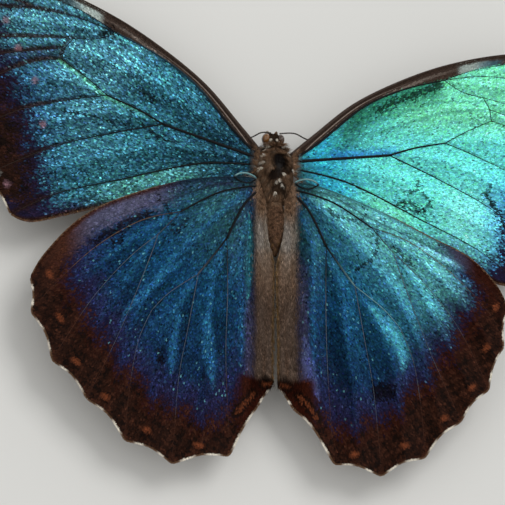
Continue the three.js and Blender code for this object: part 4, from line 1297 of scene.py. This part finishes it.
def edge_fringe(wing):
    """The same for the vanes that lie along the front and back edges."""
    for line, inward in ((wing.front, 1), (wing.back, -1)):
        edge = respace(line, EDGE_VANES)[EDGE_ENDS]
        ahead = unit(np.gradient(edge, axis=0))
        out = np.column_stack([-ahead[:, 1], ahead[:, 0]]) * inward
        tan = EDGE_TAN[wing.kind] * smooth(12, 22, edge[:, 0])
        tint = mix(paint(wing, edge - out * 0.9)[0], TAN * 0.8, tan)
        reach = np.full(len(edge), EDGE_VANE_LENGTH)
        yield edge - out * 0.2, unit(out * 0.35 + ahead), reach, tint


def fringe(wing):
    """The comb of scales round the margin: white in two dashes to a bay, brown elsewhere."""
    rows = [*margin_fringe(wing), *edge_fringe(wing)]
    p, lie, reach, tint = (np.concatenate(part) for part in zip(*rows))
    count = len(p)
    normal = wing.normal(p)
    along = laid_flat(wing.turned(lie), normal)
    along = unit(along + normal * CHANCE.normal(0.02, 0.04, (count, 1))
                 + np.cross(normal, along) * CHANCE.normal(0, 0.08, (count, 1)))
    across = np.cross(along, normal)
    roots = wing.placed(p, CHANCE.uniform(-0.03, 0.05, count))
    length = (reach * CHANCE.uniform(0.93, 1.05, count))[:, None]
    points, triangles = scatter(
        VANE, VANE_FACES, roots, across * VANE_WIDTH, along * length, normal * VANE_THICKNESS)
    tint = tint * CHANCE.uniform(0.8, 1.1, (count, 1))
    make_piece(f"fringe_{wing.name}", points, triangles, MATERIALS["fringe"],
               wing.kind, np.repeat(tint, len(VANE), axis=0), smooth_faces=False,
               patches=tuft_patches(wing_patches(wing, p), VANE))


WINGS = [Wing(name) for name in WING_POSES]
for wing in WINGS:
    membrane(wing)
    vein_tubes(wing)
    fringe(wing)
    scale_coat(wing, upper=True)
    scale_coat(wing, upper=False)

# ---------------------------------------------------------------- body
#
# Stations of the skin: y, half width, top and bottom from the wing plane, inside the CAD pieces
# by the depth of the coat.

FRONT_STATIONS = [
    (8.25, 0.12, -1.0, -1.4), (8.1, 0.7, -0.5, -1.9), (7.8, 1.05, -0.2, -2.15),
    (7.2, 1.25, 0.0, -2.3), (6.6, 1.1, -0.05, -2.2), (6.15, 0.8, -0.2, -1.9),
    (5.85, 0.95, 0.1, -1.9), (5.3, 1.4, 0.55, -2.3), (4.9, 1.35, 0.5, -2.3),
    (4.55, 1.6, 0.75, -2.5), (4.0, 2.2, 1.25, -3.2), (2.8, 2.7, 1.75, -4.0),
    (1.2, 2.85, 2.05, -4.45), (-0.6, 2.75, 1.95, -4.45), (-2.1, 2.3, 1.55, -4.05),
    (-3.3, 1.65, 1.0, -3.35), (-4.0, 1.15, 0.4, -2.8), (-4.35, 1.0, 0.1, -2.6),
]
ABDOMEN = {"front": -4.6, "back": -13.9, "segments": 8, "half_width": 1.66, "half_height": 1.95,
           "front_axis": -1.3, "back_axis": -1.9, "crease": 0.07}
SKIN_SIDES = 44


def abdomen_stations():
    """The abdomen's stations: drawn in between its segments, and thin toward its tip."""
    stations = []
    a = ABDOMEN
    steps = a["segments"] * 6
    for i in range(steps + 1):
        t = i / steps
        fullness = math.sin(math.pi * (0.14 + 0.83 * t)) ** 0.62 * (1 - 0.3 * t * t)
        ring = 1 - a["crease"] * (1 - abs(math.sin(math.pi * a["segments"] * t)) ** 0.4)
        axis = a["front_axis"] + (a["back_axis"] - a["front_axis"]) * t * t
        reach = a["half_height"] * fullness * ring
        y = a["front"] + (a["back"] - a["front"]) * t
        stations.append((y, a["half_width"] * fullness * ring, axis + reach, axis - reach))
    return stations


def skin_rings():
    """The skin's outline at every station, from the face to the tip of the abdomen."""
    front = spline(FRONT_STATIONS, 0.16)
    stations = np.vstack([front, abdomen_stations()])
    angle = 2 * np.pi * np.arange(SKIN_SIDES) / SKIN_SIDES
    y, half, top, bottom = stations.T[:, :, None]
    middle = bottom + 0.58 * (top - bottom)
    reach = np.where(np.sin(angle) > 0, top - middle, middle - bottom)
    x = half * np.cos(angle)
    z = middle + reach * np.sin(angle)
    return np.stack([x, np.broadcast_to(y, x.shape), z], -1)


# Bare, glossy, dark places on the back of the thorax: middle, half sizes and how bare.
BARE_PLACES = [((0.4, 2.3), (1.35, 1.75), 1.0), ((-0.7, -0.3), (0.95, 1.1), 0.95),
               ((0.2, -2.3), (1.15, 1.2), 0.8), ((0.15, 0.5), (0.75, 1.3), 0.95)]
# Small tufts of white scales round the head and over the thorax.
WHITE_DOTS = np.array([
    (-1.15, 5.5), (-1.3, 4.75), (-2.0, 3.69), (-0.6, 6.95), (0.41, 6.95), (1.15, 5.7),
    (1.9, 4.2), (-2.3, 2.28), (-2.6, 1.2), (2.7, 1.24), (-0.26, -1.71), (0.23, -1.33),
    (0.65, -2.09), (-0.3, -3.48), (0.94, -0.11), (0.95, 6.6), (-1.0, 6.3)])
# The same on the hair over a forewing's hinge, for wing places.
HINGE_DOTS = np.array([(-1.5, 1.6), (-1.3, -1.4), (-0.7, -1.3), (-1.5, -0.3)])
# A dark band runs from the middle of the thorax to the right forewing's hinge, on the right side
# only.
HINGE_DARK_BAND = spline([(1.1, 0.5), (2.0, 1.4), (3.1, 2.4)], 0.1)


def bareness(p):
    """1 on the bare places, 0 in the fur, for body places."""
    bare = np.zeros(len(p))
    for middle, size, share in BARE_PLACES:
        away = np.hypot(*((p[:, :2] - middle) / size).T)
        bare = np.maximum(bare, share * smooth(1.15, 0.8, away))
    return bare * (p[:, 2] > 0.3)


def paint_body(p):
    """Fur and skin colours at body places."""
    x, y, z = p.T
    flat = p[:, :2]
    speckle = smooth(-0.1, 0.7, ripple(flat, 0.45) + 0.5 * ripple(flat + 3, 1.1))
    middle = mix(HAIR_BROWN * 1.5, HAIR_DARK, 0.7 * speckle)
    tint = layered(
        HAIR_WARM,
        (HAIR_DARK, 0.7 * smooth(0, 0.9, ripple(flat * (2, 1), 1.3))),
        (HAIR_GREY, 0.5 * smooth(0, 0.9, ripple(flat + 5, 0.8))),
        (mix(HAIR_WARM, middle, smooth(1.5, 0.7, np.abs(x))), 0.9 * smooth(-4.6, -6.5, y)),
        (HAIR_OCHRE, 0.5 * smooth(-10.5, -13, y) * smooth(-0.3, 0.6, ripple(flat, 0.6))),
        (HAIR_DARK, 0.8 * smooth(5.4, 6.6, y)))
    return layered(
        tint * (1 - 0.2 * smooth(-5, -3.5, y))[:, None],
        (HAIR_DARK * 0.5, 0.85 * near(flat, HINGE_DARK_BAND, 0.5)),
        (UNDER_PALE, 0.5 * smooth(-1.5, -3.5, z)),
        (RIM_DARK * 0.35, bareness(p)))


def body_skin():
    """One skin for head, neck, thorax and abdomen: its points and triangles at body places."""
    rings = skin_rings()
    points = np.vstack([rings.reshape(-1, 3), rings[0].mean(0), rings[-1].mean(0)])
    triangles = outward(points, ring_faces(len(rings), SKIN_SIDES))
    piece = make_piece("body_skin", in_body(points), triangles, MATERIALS["skin"], "fur",
                       paint_body(points))
    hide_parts("head", "prothorax", "thorax", "abdomen")
    return points, triangles


# A tuft of hair: a bowed spike on three sides. Columns: across, along, up, bow.
THREE_SIDES = (0.5, 2.6, 4.7)
TUFT = np.array(
    [(math.cos(a), 0, math.sin(a), 0) for a in THREE_SIDES]
    + [(0.75 * math.cos(a), 0.5, 0.75 * math.sin(a), 1) for a in THREE_SIDES]
    + [(0, 1, 0, 0.4)], float)
TUFT_FACES = outward(TUFT[:, :3], np.array(
    [(0, 2, 1), (0, 1, 4), (0, 4, 3), (1, 2, 5), (1, 5, 4), (2, 0, 3), (2, 3, 5), (3, 4, 6),
     (4, 5, 6), (5, 3, 6)]))
HAIR_SWAY = 0.22                     # how far tufts stray from their lie
HAIR_BOW = 0.12                      # how far a tuft bows, against its length
HAIR_SPREAD = 0.35                   # how unlike each other the tufts' shades are
HAIR_ROOT = 0.1                      # how far over a membrane's middle the tufts on it begin


def skin_samples(points, triangles, count, weight):
    """Evenly random places on a skin, by area times weight, with the outward direction."""
    a, b, c = (points[triangles[:, i]] for i in range(3))
    cross = np.cross(b - a, c - a)
    share = np.linalg.norm(cross, axis=1) * weight((a + b + c) / 3)
    pick = CHANCE.choice(len(triangles), count, p=share / share.sum())
    u, v = CHANCE.random((2, count))
    u, v = np.where(u + v > 1, 1 - u, u), np.where(u + v > 1, 1 - v, v)
    places = a[pick] + (b - a)[pick] * u[:, None] + (c - a)[pick] * v[:, None]
    return places, unit(cross[pick])


def fur(name, places, normals, lie, length, radius, lift, tint, slot, patches):
    """Tufts that lie along the skin. lift is how steeply they stand."""
    count = len(places)
    flat = laid_flat(lie, normals)
    flat = unit(flat + np.cross(normals, flat) * CHANCE.normal(0, HAIR_SWAY, (count, 1)))
    along = unit(flat + normals * np.broadcast_to(lift, count)[:, None])
    across = unit(np.cross(along, normals))
    up = np.cross(across, along)
    length = (length * CHANCE.uniform(0.75, 1.25, count))[:, None]
    radius = (radius * CHANCE.uniform(0.8, 1.2, count))[:, None]
    points, triangles = scatter(
        TUFT, TUFT_FACES, places, across * radius, along * length, up * radius,
        normals * length * HAIR_BOW)
    tint = np.clip(tint * np.exp(CHANCE.normal(0, HAIR_SPREAD, (count, 1))), 0, 1)
    make_piece(name, points, triangles, MATERIALS["hair"], slot,
               np.repeat(tint, len(TUFT), axis=0), patches=tuft_patches(patches, TUFT))


BODY_FRONT, BODY_LENGTH, BODY_AXIS = 8.5, 23.0, -1.2


def body_patches(p):
    """An unwrap of the body: round it, and along it."""
    around = np.arctan2(p[:, 2] - BODY_AXIS, p[:, 0]) / (2 * np.pi) + 0.5
    along = (BODY_FRONT - p[:, 1]) / BODY_LENGTH
    return np.stack([0.02 + 0.45 * around, 0.02 + 0.96 * along], 1)


# The coat's regions: back and front, number of tufts, and their length, radius and lift.
COAT = {
    "fur_head": (5.9, 8.6, 9000, 0.42, 0.035, 0.5),
    "fur_thorax": (-4.3, 5.9, 16500, 1.05, 0.047, 0.42),
    "fur_abdomen": (-14.5, -4.0, 13000, 0.62, 0.045, 0.22),
}
EYE_CLEARING = (0.8, 1.0, 1.15)      # half sizes of the place that the fur leaves for an eye


def clear_of_eyes(places):
    """Which body places lie outside both eyes' clearings."""
    return np.all([np.linalg.norm((places - EYE_PLACE * (side, 1, 1)) / EYE_CLEARING, axis=1) > 1
                   for side in (-1, 1)], axis=0)


def region_coat(name, points, triangles):
    """One region's tufts, with the upright white ones, the long collar and the full waist."""
    back, front, count, length, radius, lift = COAT[name]

    def weight(p):
        in_region = (p[:, 1] > back) & (p[:, 1] <= front)
        dotted = smooth(0.35, 0.25, distance_to(p[:, :2], WHITE_DOTS))
        return in_region * np.maximum(1.04 - bareness(p), 4 * dotted) * (
            0.45 + 0.55 * (p[:, 2] > -1.8))

    places, normals = skin_samples(points, triangles, count, weight)
    clear = clear_of_eyes(places)
    places, normals = places[clear], normals[clear]
    x, y, z = places.T
    white = smooth(0.3, 0.2, distance_to(places[:, :2], WHITE_DOTS)) * (z > -0.9)
    collar = smooth(4.5, 5.3, y) * smooth(7.0, 6.2, y)
    waist = smooth(-1.4, -3.0, y) * smooth(-6.5, -4.5, y) * smooth(0.5, 1.2, np.abs(x))
    lie = np.stack([(0.35 + 0.4 * waist) * np.sign(x), 0 * x - 1, 0 * x], 1)
    shorter = (0.55 - 0.3 * smooth(0.9, 1.4, np.abs(x))) * white
    lengths = length * (1 - shorter) * (1 + 0.6 * collar + 0.5 * waist)
    lengths = lengths * (
        0.55 + 0.45 * smooth(0.2, 1.6, np.abs(x)) * (1 - collar) + 0.45 * collar)
    normals = unit(mix(normals, np.array([UP]), 0.85 * white))
    fur(name, in_body(places), normals @ BODY_TURN, lie @ BODY_TURN, lengths,
        radius * (1 + 0.9 * white), lift + 1.1 * white + 0.6 * collar,
        mix(paint_body(places), FRINGE_WHITE, 0.9 * white),
        "abdomen" if name == "fur_abdomen" else "fur", body_patches(places))


body_points, body_triangles = body_skin()
for region in COAT:
    region_coat(region, body_points, body_triangles)


def wing_fur(name, wing, p, lie, length, radius, lift, tint, slot):
    """Tufts on a wing's upper side; p and lie are in the wing's plane."""
    fur(f"{name}_{wing.name}", wing.placed(p, HAIR_ROOT), wing.normal(p), wing.turned(lie),
        length, radius, lift, tint, slot, wing_patches(wing, p))


BASE_TUFTS = {"forewing": 2600, "hindwing": 2200}
FOLD_TUFTS = 7200


def wing_base_hair(wing):
    """Long hairs over a hinge, from the thorax out on to the wing."""
    count = BASE_TUFTS[wing.kind]
    reach = CHANCE.random(count) ** 1.3
    if wing.is_fore:
        y = CHANCE.uniform(-2.4, 1.6, count) + reach * CHANCE.uniform(0, 1.2, count)
        p = np.stack([-1.9 + 1.3 * reach, y], 1)
        lie = unit(np.stack([np.ones(count), 0.35 + 0.25 * y], 1))
    else:
        y = CHANCE.uniform(-3.6, 0.8, count)
        p = np.stack([-2.3 + 1.5 * reach, y], 1)
        lie = unit(np.stack([np.full(count, 0.7), -0.8 + 0.2 * y], 1))
    keep = is_inside(p, wing.outline)
    p, lie, reach = p[keep], lie[keep], reach[keep]
    white = smooth(0.26, 0.16, distance_to(p, HINGE_DOTS)) * wing.is_fore
    tint = layered(
        HAIR_WARM,
        (HAIR_DARK, 0.8 * CHANCE.random(len(p))),
        (paint(wing, p)[0], 0.8 * smooth(0.35, 0.9, reach)),
        (CHALK, 0.9 * white))
    length = (0.7 + 0.5 * smooth(-0.6, 0.6, ripple(p, 0.7))) * (1 - 0.55 * white)
    wing_fur("hair_base", wing, p, lie, length, 0.04, 0.24 * (1 - 0.5 * reach), tint, "fur")


def inner_fold_hair(wing):
    """Silky hair that lies backward over the bent inner part of a hindwing."""
    y = CHANCE.uniform(-36.5, -2.5, FOLD_TUFTS)
    x = CHANCE.uniform(-4.0, 0.7, FOLD_TUFTS)
    p = np.stack([x, y], 1)
    p = p[is_inside(p, wing.inner_line()) & (CHANCE.random(FOLD_TUFTS) > smooth(-0.4, 0.9, x))]
    lie = np.broadcast_to((-0.06, -1.0), p.shape)
    wing_fur("hair_fold", wing, p, lie, 1.1, 0.039, 0.1, paint(wing, p)[0], "hindwing")


for wing in WINGS:
    wing_base_hair(wing)
for wing in WINGS:
    if not wing.is_fore:
        inner_fold_hair(wing)

# ---------------------------------------------------------------- eyes

EYE_SIZE = np.array([0.76, 0.96, 1.1])
LENSES = 620
LENS_BULGE = 4.0
# The right eye is darkened by this share: a painted shadow of the head.
RIGHT_EYE_SHADE = 0.25               # the right eye lies in the head's shadow


def eyes():
    """Each eye bulges into many small lenses."""
    ball = bmesh.new()
    bmesh.ops.create_icosphere(ball, subdivisions=5, radius=1)
    directions = np.array([v.co for v in ball.verts])
    triangles = np.array([[v.index for v in f.verts] for f in ball.faces])
    ball.free()
    turn = math.pi * (3 - math.sqrt(5))
    i = np.arange(LENSES)
    level = 1 - 2 * (i + 0.5) / LENSES
    around = np.sqrt(1 - level ** 2)
    lenses = np.stack([around * np.cos(turn * i), around * np.sin(turn * i), level], 1)
    off_lens = np.sqrt(np.maximum(0, 2 - 2 * (directions @ lenses.T).max(1)))
    bulge = 1 - LENS_BULGE * off_lens ** 2
    # The lenses' amber, with a painted highlight on top and painted shade below.
    amber = layered(
        EYE_AMBER,
        (EYE_GAP, smooth(0.04, 0.08, off_lens)),
        (EYE_LIT, 0.35 * smooth(0.2, 0.95, directions[:, 2])),
        (EYE_SHADED_BELOW, 0.8 * smooth(0.2, -0.5, directions[:, 2])))
    for side, name, share in ((-1, "eye_left", 1), (1, "eye_right", RIGHT_EYE_SHADE)):
        points = directions * bulge[:, None] * EYE_SIZE + EYE_PLACE * (side, 1, 1)
        piece = make_piece(f"lenses_{name}", in_body(points), triangles, MATERIALS["eye"],
                           "eye", amber * share)
        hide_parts(name)


eyes()

# ---------------------------------------------------------------- limbs and feelers
#
# Runs on the right side from the body's middle, as in the CAD model: x, y, height over the
# floor, radius.

PALP = [(0.85, 8.1, 4.9, 0.2), (0.87, 8.62, 4.85, 0.27), (0.85, 8.88, 5.15, 0.26),
        (0.8, 8.88, 5.55, 0.14)]
LEGS = {
    "foreleg": [(1.2, 3.7, 3.3, 0.16), (1.8, 6.1, 3.35, 0.2), (2.0, 7.0, 2.9, 0.16),
                (1.9, 6.6, 2.05, 0.14), (1.6, 4.8, 1.6, 0.1)],
    "midleg": [(1.2, 1.2, 2.2, 0.45), (2.2, 1.7, 2.15, 0.34), (7.0, 3.6, 4.5, 0.24),
               (11.6, 7.3, 0.85, 0.17), (12.6, 8.0, 0.2, 0.16), (14.3, 9.1, 0.15, 0.14),
               (15.9, 10.1, 0.15, 0.1)],
    "hindleg": [(1.1, -1.7, 2.2, 0.45), (2.0, -2.5, 2.15, 0.34), (5.8, -6.6, 4.4, 0.24),
                (9.0, -13.2, 0.85, 0.17), (9.5, -14.4, 0.2, 0.16), (10.3, -16.3, 0.15, 0.14),
                (11.0, -18.1, 0.15, 0.1)],
}
SPINE_ROWS = {"foreleg": 5, "midleg": 4, "hindleg": 4}
ANTENNAE = {
    "right": [(0.75, 7.8, 7.95), (3.6, 8.2, 7.5), (6.6, 7.7, 6.2), (11.0, 8.3, 5.0),
              (16.5, 10.8, 4.3), (20.5, 13.6, 4.0), (22.6, 15.5, 3.9), (23.8, 16.7, 3.9)],
    "left": [(0.75, 7.8, 7.85), (2.3, 8.1, 7.1), (5.0, 7.3, 5.6), (10.4, 8.0, 4.6),
             (16.0, 10.2, 4.1), (20.2, 12.8, 3.9), (22.4, 14.6, 3.8), (23.6, 15.8, 3.8)],
}


def over_floor(points):
    """Body points whose height is given over the floor."""
    placed = in_body(points - np.array([0, 0, WING_PLANE]))
    placed[:, 2] = np.maximum(placed[:, 2], 0)
    return placed


SPIKE = np.array([(math.cos(a), 0, math.sin(a)) for a in THREE_SIDES] + [(0, 1, 0)], float)
SPIKE_FACES = outward(SPIKE, np.array([(0, 2, 1), (0, 1, 3), (1, 2, 3), (2, 0, 3)]))
SPINE_RADIUS, SPINE_LENGTH, SPINE_STEP = 0.03, 0.34, 0.22
LEG_SIDES, CLAW_SIDES, FEELER_SIDES, PALP_SIDES, TONGUE_SIDES = 10, 6, 8, 14, 10
CLAW_LENGTH, CLAW_SPREAD = 0.5, 0.5
FEELER_STEP, RING_POINTS = 0.07, 5   # spacing of a feeler's points, and how many make a ring


def leg_segments(run):
    """A leg's segments as tubes that swell in the middle and at the knee, with their tints."""
    for i, (start, end) in enumerate(zip(run, run[1:])):
        t = np.linspace(0, 1, 9)[:, None]
        places = start[:3] + (end - start)[:3] * t
        swell = 1 + 0.28 * np.sin(np.pi * t[:, 0]) + 0.2 * (t[:, 0] > 0.85)
        radius = (start[3] + (end[3] - start[3]) * t[:, 0]) * swell
        yield tube(places, radius, sides=LEG_SIDES), mix(LEG_DARK, LEG_PALE, 0.5 * (i % 2))


def leg_spines(run, rows):
    """Rows of spines along a leg's lower part, where they are clear of the floor."""
    places = respace(run[2:, :3] if len(run) > 5 else run[1:, :3], SPINE_STEP)
    ahead = unit(np.gradient(places, axis=0))
    for row in range(rows):
        angle = 2 * np.pi * row / rows + 0.4
        outwards = unit(np.cross(ahead, UP)) * math.cos(angle) + UP * math.sin(angle)
        lie = unit(ahead * 1.2 + outwards)
        wide = unit(np.cross(lie, ahead))
        roots = places + outwards * 0.08
        clear = roots[:, 2] > 0.12
        spines = scatter(SPIKE, SPIKE_FACES, roots[clear], wide[clear] * SPINE_RADIUS,
                         lie[clear] * SPINE_LENGTH, np.cross(wide, lie)[clear] * SPINE_RADIUS)
        yield spines, SPINE_DARK


def leg_claws(run):
    """Two bent claws, on legs that reach the floor."""
    tip = run[-1, :3]
    if tip[2] > 0.5:
        return
    ahead = unit(tip - run[-2, :3])
    for spread in (-CLAW_SPREAD, CLAW_SPREAD):
        claw = [tip + ahead * s + np.cross(ahead, UP) * spread * s - UP * s * s * 0.6
                for s in np.linspace(0, CLAW_LENGTH, 6)]
        yield tube(claw, np.linspace(0.07, 0.015, 6), sides=CLAW_SIDES), CLAW_DARK


def leg(name, run, side, rows):
    """A jointed leg with knees, rows of spines on its lower part and, where it reaches the floor,
    two claws.
    """
    run = np.array(run) * (side, 1, 1, 1)
    bundle = Bundle()
    for (points, faces), tint in (*leg_segments(run), *leg_spines(run, rows), *leg_claws(run)):
        bundle.add((over_floor(points), faces), tint)
    points, triangles, tint = bundle.arrays()
    piece = make_piece(f"leg_{name}", points, triangles, MATERIALS["chitin"], "chitin", tint)
    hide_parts(name)


def antenna(name, run, side):
    """A ringed feeler that thickens into a slim club."""
    line = spline(np.array(run) * (side, 1, 1), FEELER_STEP)
    along = np.linspace(0, 1, len(line))
    wave = np.sin(np.pi * np.arange(len(line)) / RING_POINTS)
    radius = 0.13 + 0.15 * smooth(0.76, 0.93, along) - 0.2 * smooth(0.96, 1.0, along)
    body = tube(over_floor(line), radius * (0.9 + 0.1 * np.abs(wave)), sides=FEELER_SIDES)
    tint = layered(FEELER_DARK, (FEELER_RING, 0.5 * (wave ** 2 < 0.12)),
                   (CLUB_BROWN, 0.6 * smooth(0.8, 0.95, along)))
    piece = make_piece(f"feeler_{name}", *body, MATERIALS["chitin"], "chitin",
                       tube_tints(tint, FEELER_SIDES))
    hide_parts(name)


PALP_TUFTS = 1500
PALP_HAIR = (0.2, 0.025, 0.15)       # length, radius and lift


def palp(name, side):
    """A short hairy feeler that turns up in front of the face."""
    run = np.array(PALP) * (side, 1, 1, 1)
    line = spline(run, 0.12)
    points, triangles = tube(line[:, :3], line[:, 3], sides=PALP_SIDES, up=(1, 0, 0))
    piece = make_piece(f"skin_{name}", over_floor(points), triangles, MATERIALS["skin"], "fur",
                       np.broadcast_to(HAIR_WARM, points.shape))
    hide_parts(name)
    places, normals = skin_samples(points, triangles, PALP_TUFTS, lambda p: np.ones(len(p)))
    lie = np.broadcast_to((0, 0.35, 1.0), places.shape)
    tint = mix(HAIR_WARM, CHALK, 0.6 * smooth(0.0, 0.3, np.abs(places[:, 0]) - 0.75))
    # The OFBake map's right part is free for the palps.
    patches = np.stack([0.6 + 0.1 * places[:, 0], 0.1 * places[:, 2]], 1)
    fur(f"hair_{name}", over_floor(places), normals @ BODY_TURN, lie @ BODY_TURN,
        *PALP_HAIR, tint, "fur", patches)


TONGUE_TURNS = 1.5
TONGUE_REACH = (1.25, 0.45)          # the spiral's radius outside and inside
TONGUE_MIDDLE = (8.35, 3.6)          # y and height over the floor


def proboscis():
    """The tongue, wound up like a watch spring and ringed."""
    t = np.linspace(0, 1, 150)
    outer, inner = TONGUE_REACH
    y, z = TONGUE_MIDDLE
    angle = math.pi * 0.62 - 2 * math.pi * TONGUE_TURNS * t
    reach = outer + (inner - outer) * t
    line = np.stack([0 * t, y + reach * np.cos(angle), z + reach * np.sin(angle)], 1)
    rings = 1 + 0.08 * np.sin(np.arange(len(t)) * math.pi / 1.5)
    radius = (0.19 - 0.09 * t) * rings
    body = tube(over_floor(line), radius, sides=TONGUE_SIDES, up=(1, 0, 0))
    piece = make_piece("tongue", *body, MATERIALS["chitin"], "chitin",
                       np.broadcast_to(TONGUE, body[0].shape))
    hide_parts("proboscis")


for side_name, side in (("left", -1), ("right", 1)):
    for leg_name, run in LEGS.items():
        leg(f"{leg_name}_{side_name}", run, side, SPINE_ROWS[leg_name])
    antenna(f"antenna_{side_name}", ANTENNAE[side_name], side)
    palp(f"palp_{side_name}", side)
proboscis()

# ---------------------------------------------------------------- floor, lights and camera

FLOOR_HALF = 1.5
DAYLIGHT = 0.62
# Each lamp's place, size and power.
LAMPS = {"key": ((0.35, 0.42, 0.8), 0.5, 3.2), "fill": ((-0.6, -0.2, 0.5), 0.6, 0.5)}


def floor():
    mesh = bpy.data.meshes.new("floor")
    signs = ((-1, -1), (1, -1), (1, 1), (-1, 1))
    corners = [(x * FLOOR_HALF, y * FLOOR_HALF, 0) for x, y in signs]
    mesh.from_pydata(corners, [], [(0, 1, 2, 3)])
    plane = bpy.data.objects.new("floor", mesh)
    bpy.context.scene.collection.objects.link(plane)
    material, shader = new_material("floor", 0.85)
    noise = add_node(material, "TexNoise", {"Scale": 40})
    blend = add_node(material, "Mix", {}, data_type="RGBA")
    connect(material, blend, {"Factor": noise.outputs["Fac"], "A": (*FLOOR_DARK, 1),
                              "B": (*FLOOR_PALE, 1)})
    connect(material, shader, {"Base Color": blend.outputs["Result"]})
    mesh.materials.append(material)


def lamp(name, place, size, power):
    """A soft square lamp that looks at the middle of the butterfly."""
    light = bpy.data.lights.new(name, "AREA")
    light.size = size
    light.energy = power
    holder = bpy.data.objects.new(name, light)
    holder.location = place
    holder.rotation_euler = (-Vector(place)).to_track_quat("-Z", "Y").to_euler()
    bpy.context.scene.collection.objects.link(holder)


def studio():
    world = bpy.data.worlds.new("studio")
    world.use_nodes = True
    world.node_tree.nodes["Background"].inputs["Color"].default_value = (1, 1, 1, 1)
    world.node_tree.nodes["Background"].inputs["Strength"].default_value = DAYLIGHT
    bpy.context.scene.world = world
    for name, (place, size, power) in LAMPS.items():
        lamp(name, place, size, power)


# The camera looks down from behind the left wing. It is pitched, rolled and turned from straight
# above, and aimed at a place between the hindwings.
CAMERA_PITCH, CAMERA_ROLL, CAMERA_YAW = 19.75, 12.88, -1.55
CAMERA_AIM = (-3.713, -14.538)
CAMERA_DISTANCE = 430.0
VIEW_WIDTH = 87.07
SENSOR = 36.0


def camera():
    turn = (Matrix.Rotation(math.radians(CAMERA_YAW), 3, "Z")
            @ Matrix.Rotation(-math.radians(CAMERA_PITCH), 3, "X")
            @ Matrix.Rotation(math.radians(CAMERA_ROLL), 3, "Y")).transposed()
    lens = bpy.data.cameras.new("camera")
    lens.sensor_width = SENSOR
    lens.lens = SENSOR * CAMERA_DISTANCE / VIEW_WIDTH
    lens.clip_start = 0.01
    holder = bpy.data.objects.new("camera", lens)
    aim = Vector((ORIGIN[0] + CAMERA_AIM[0], ORIGIN[1] + CAMERA_AIM[1], WING_PLANE))
    place = (aim + turn @ Vector((0, 0, CAMERA_DISTANCE))) * MM
    holder.matrix_world = Matrix.Translation(place) @ turn.to_4x4()
    bpy.context.scene.collection.objects.link(holder)
    bpy.context.scene.camera = holder


floor()
studio()
camera()
bpy.context.scene.view_settings.view_transform = "Standard"
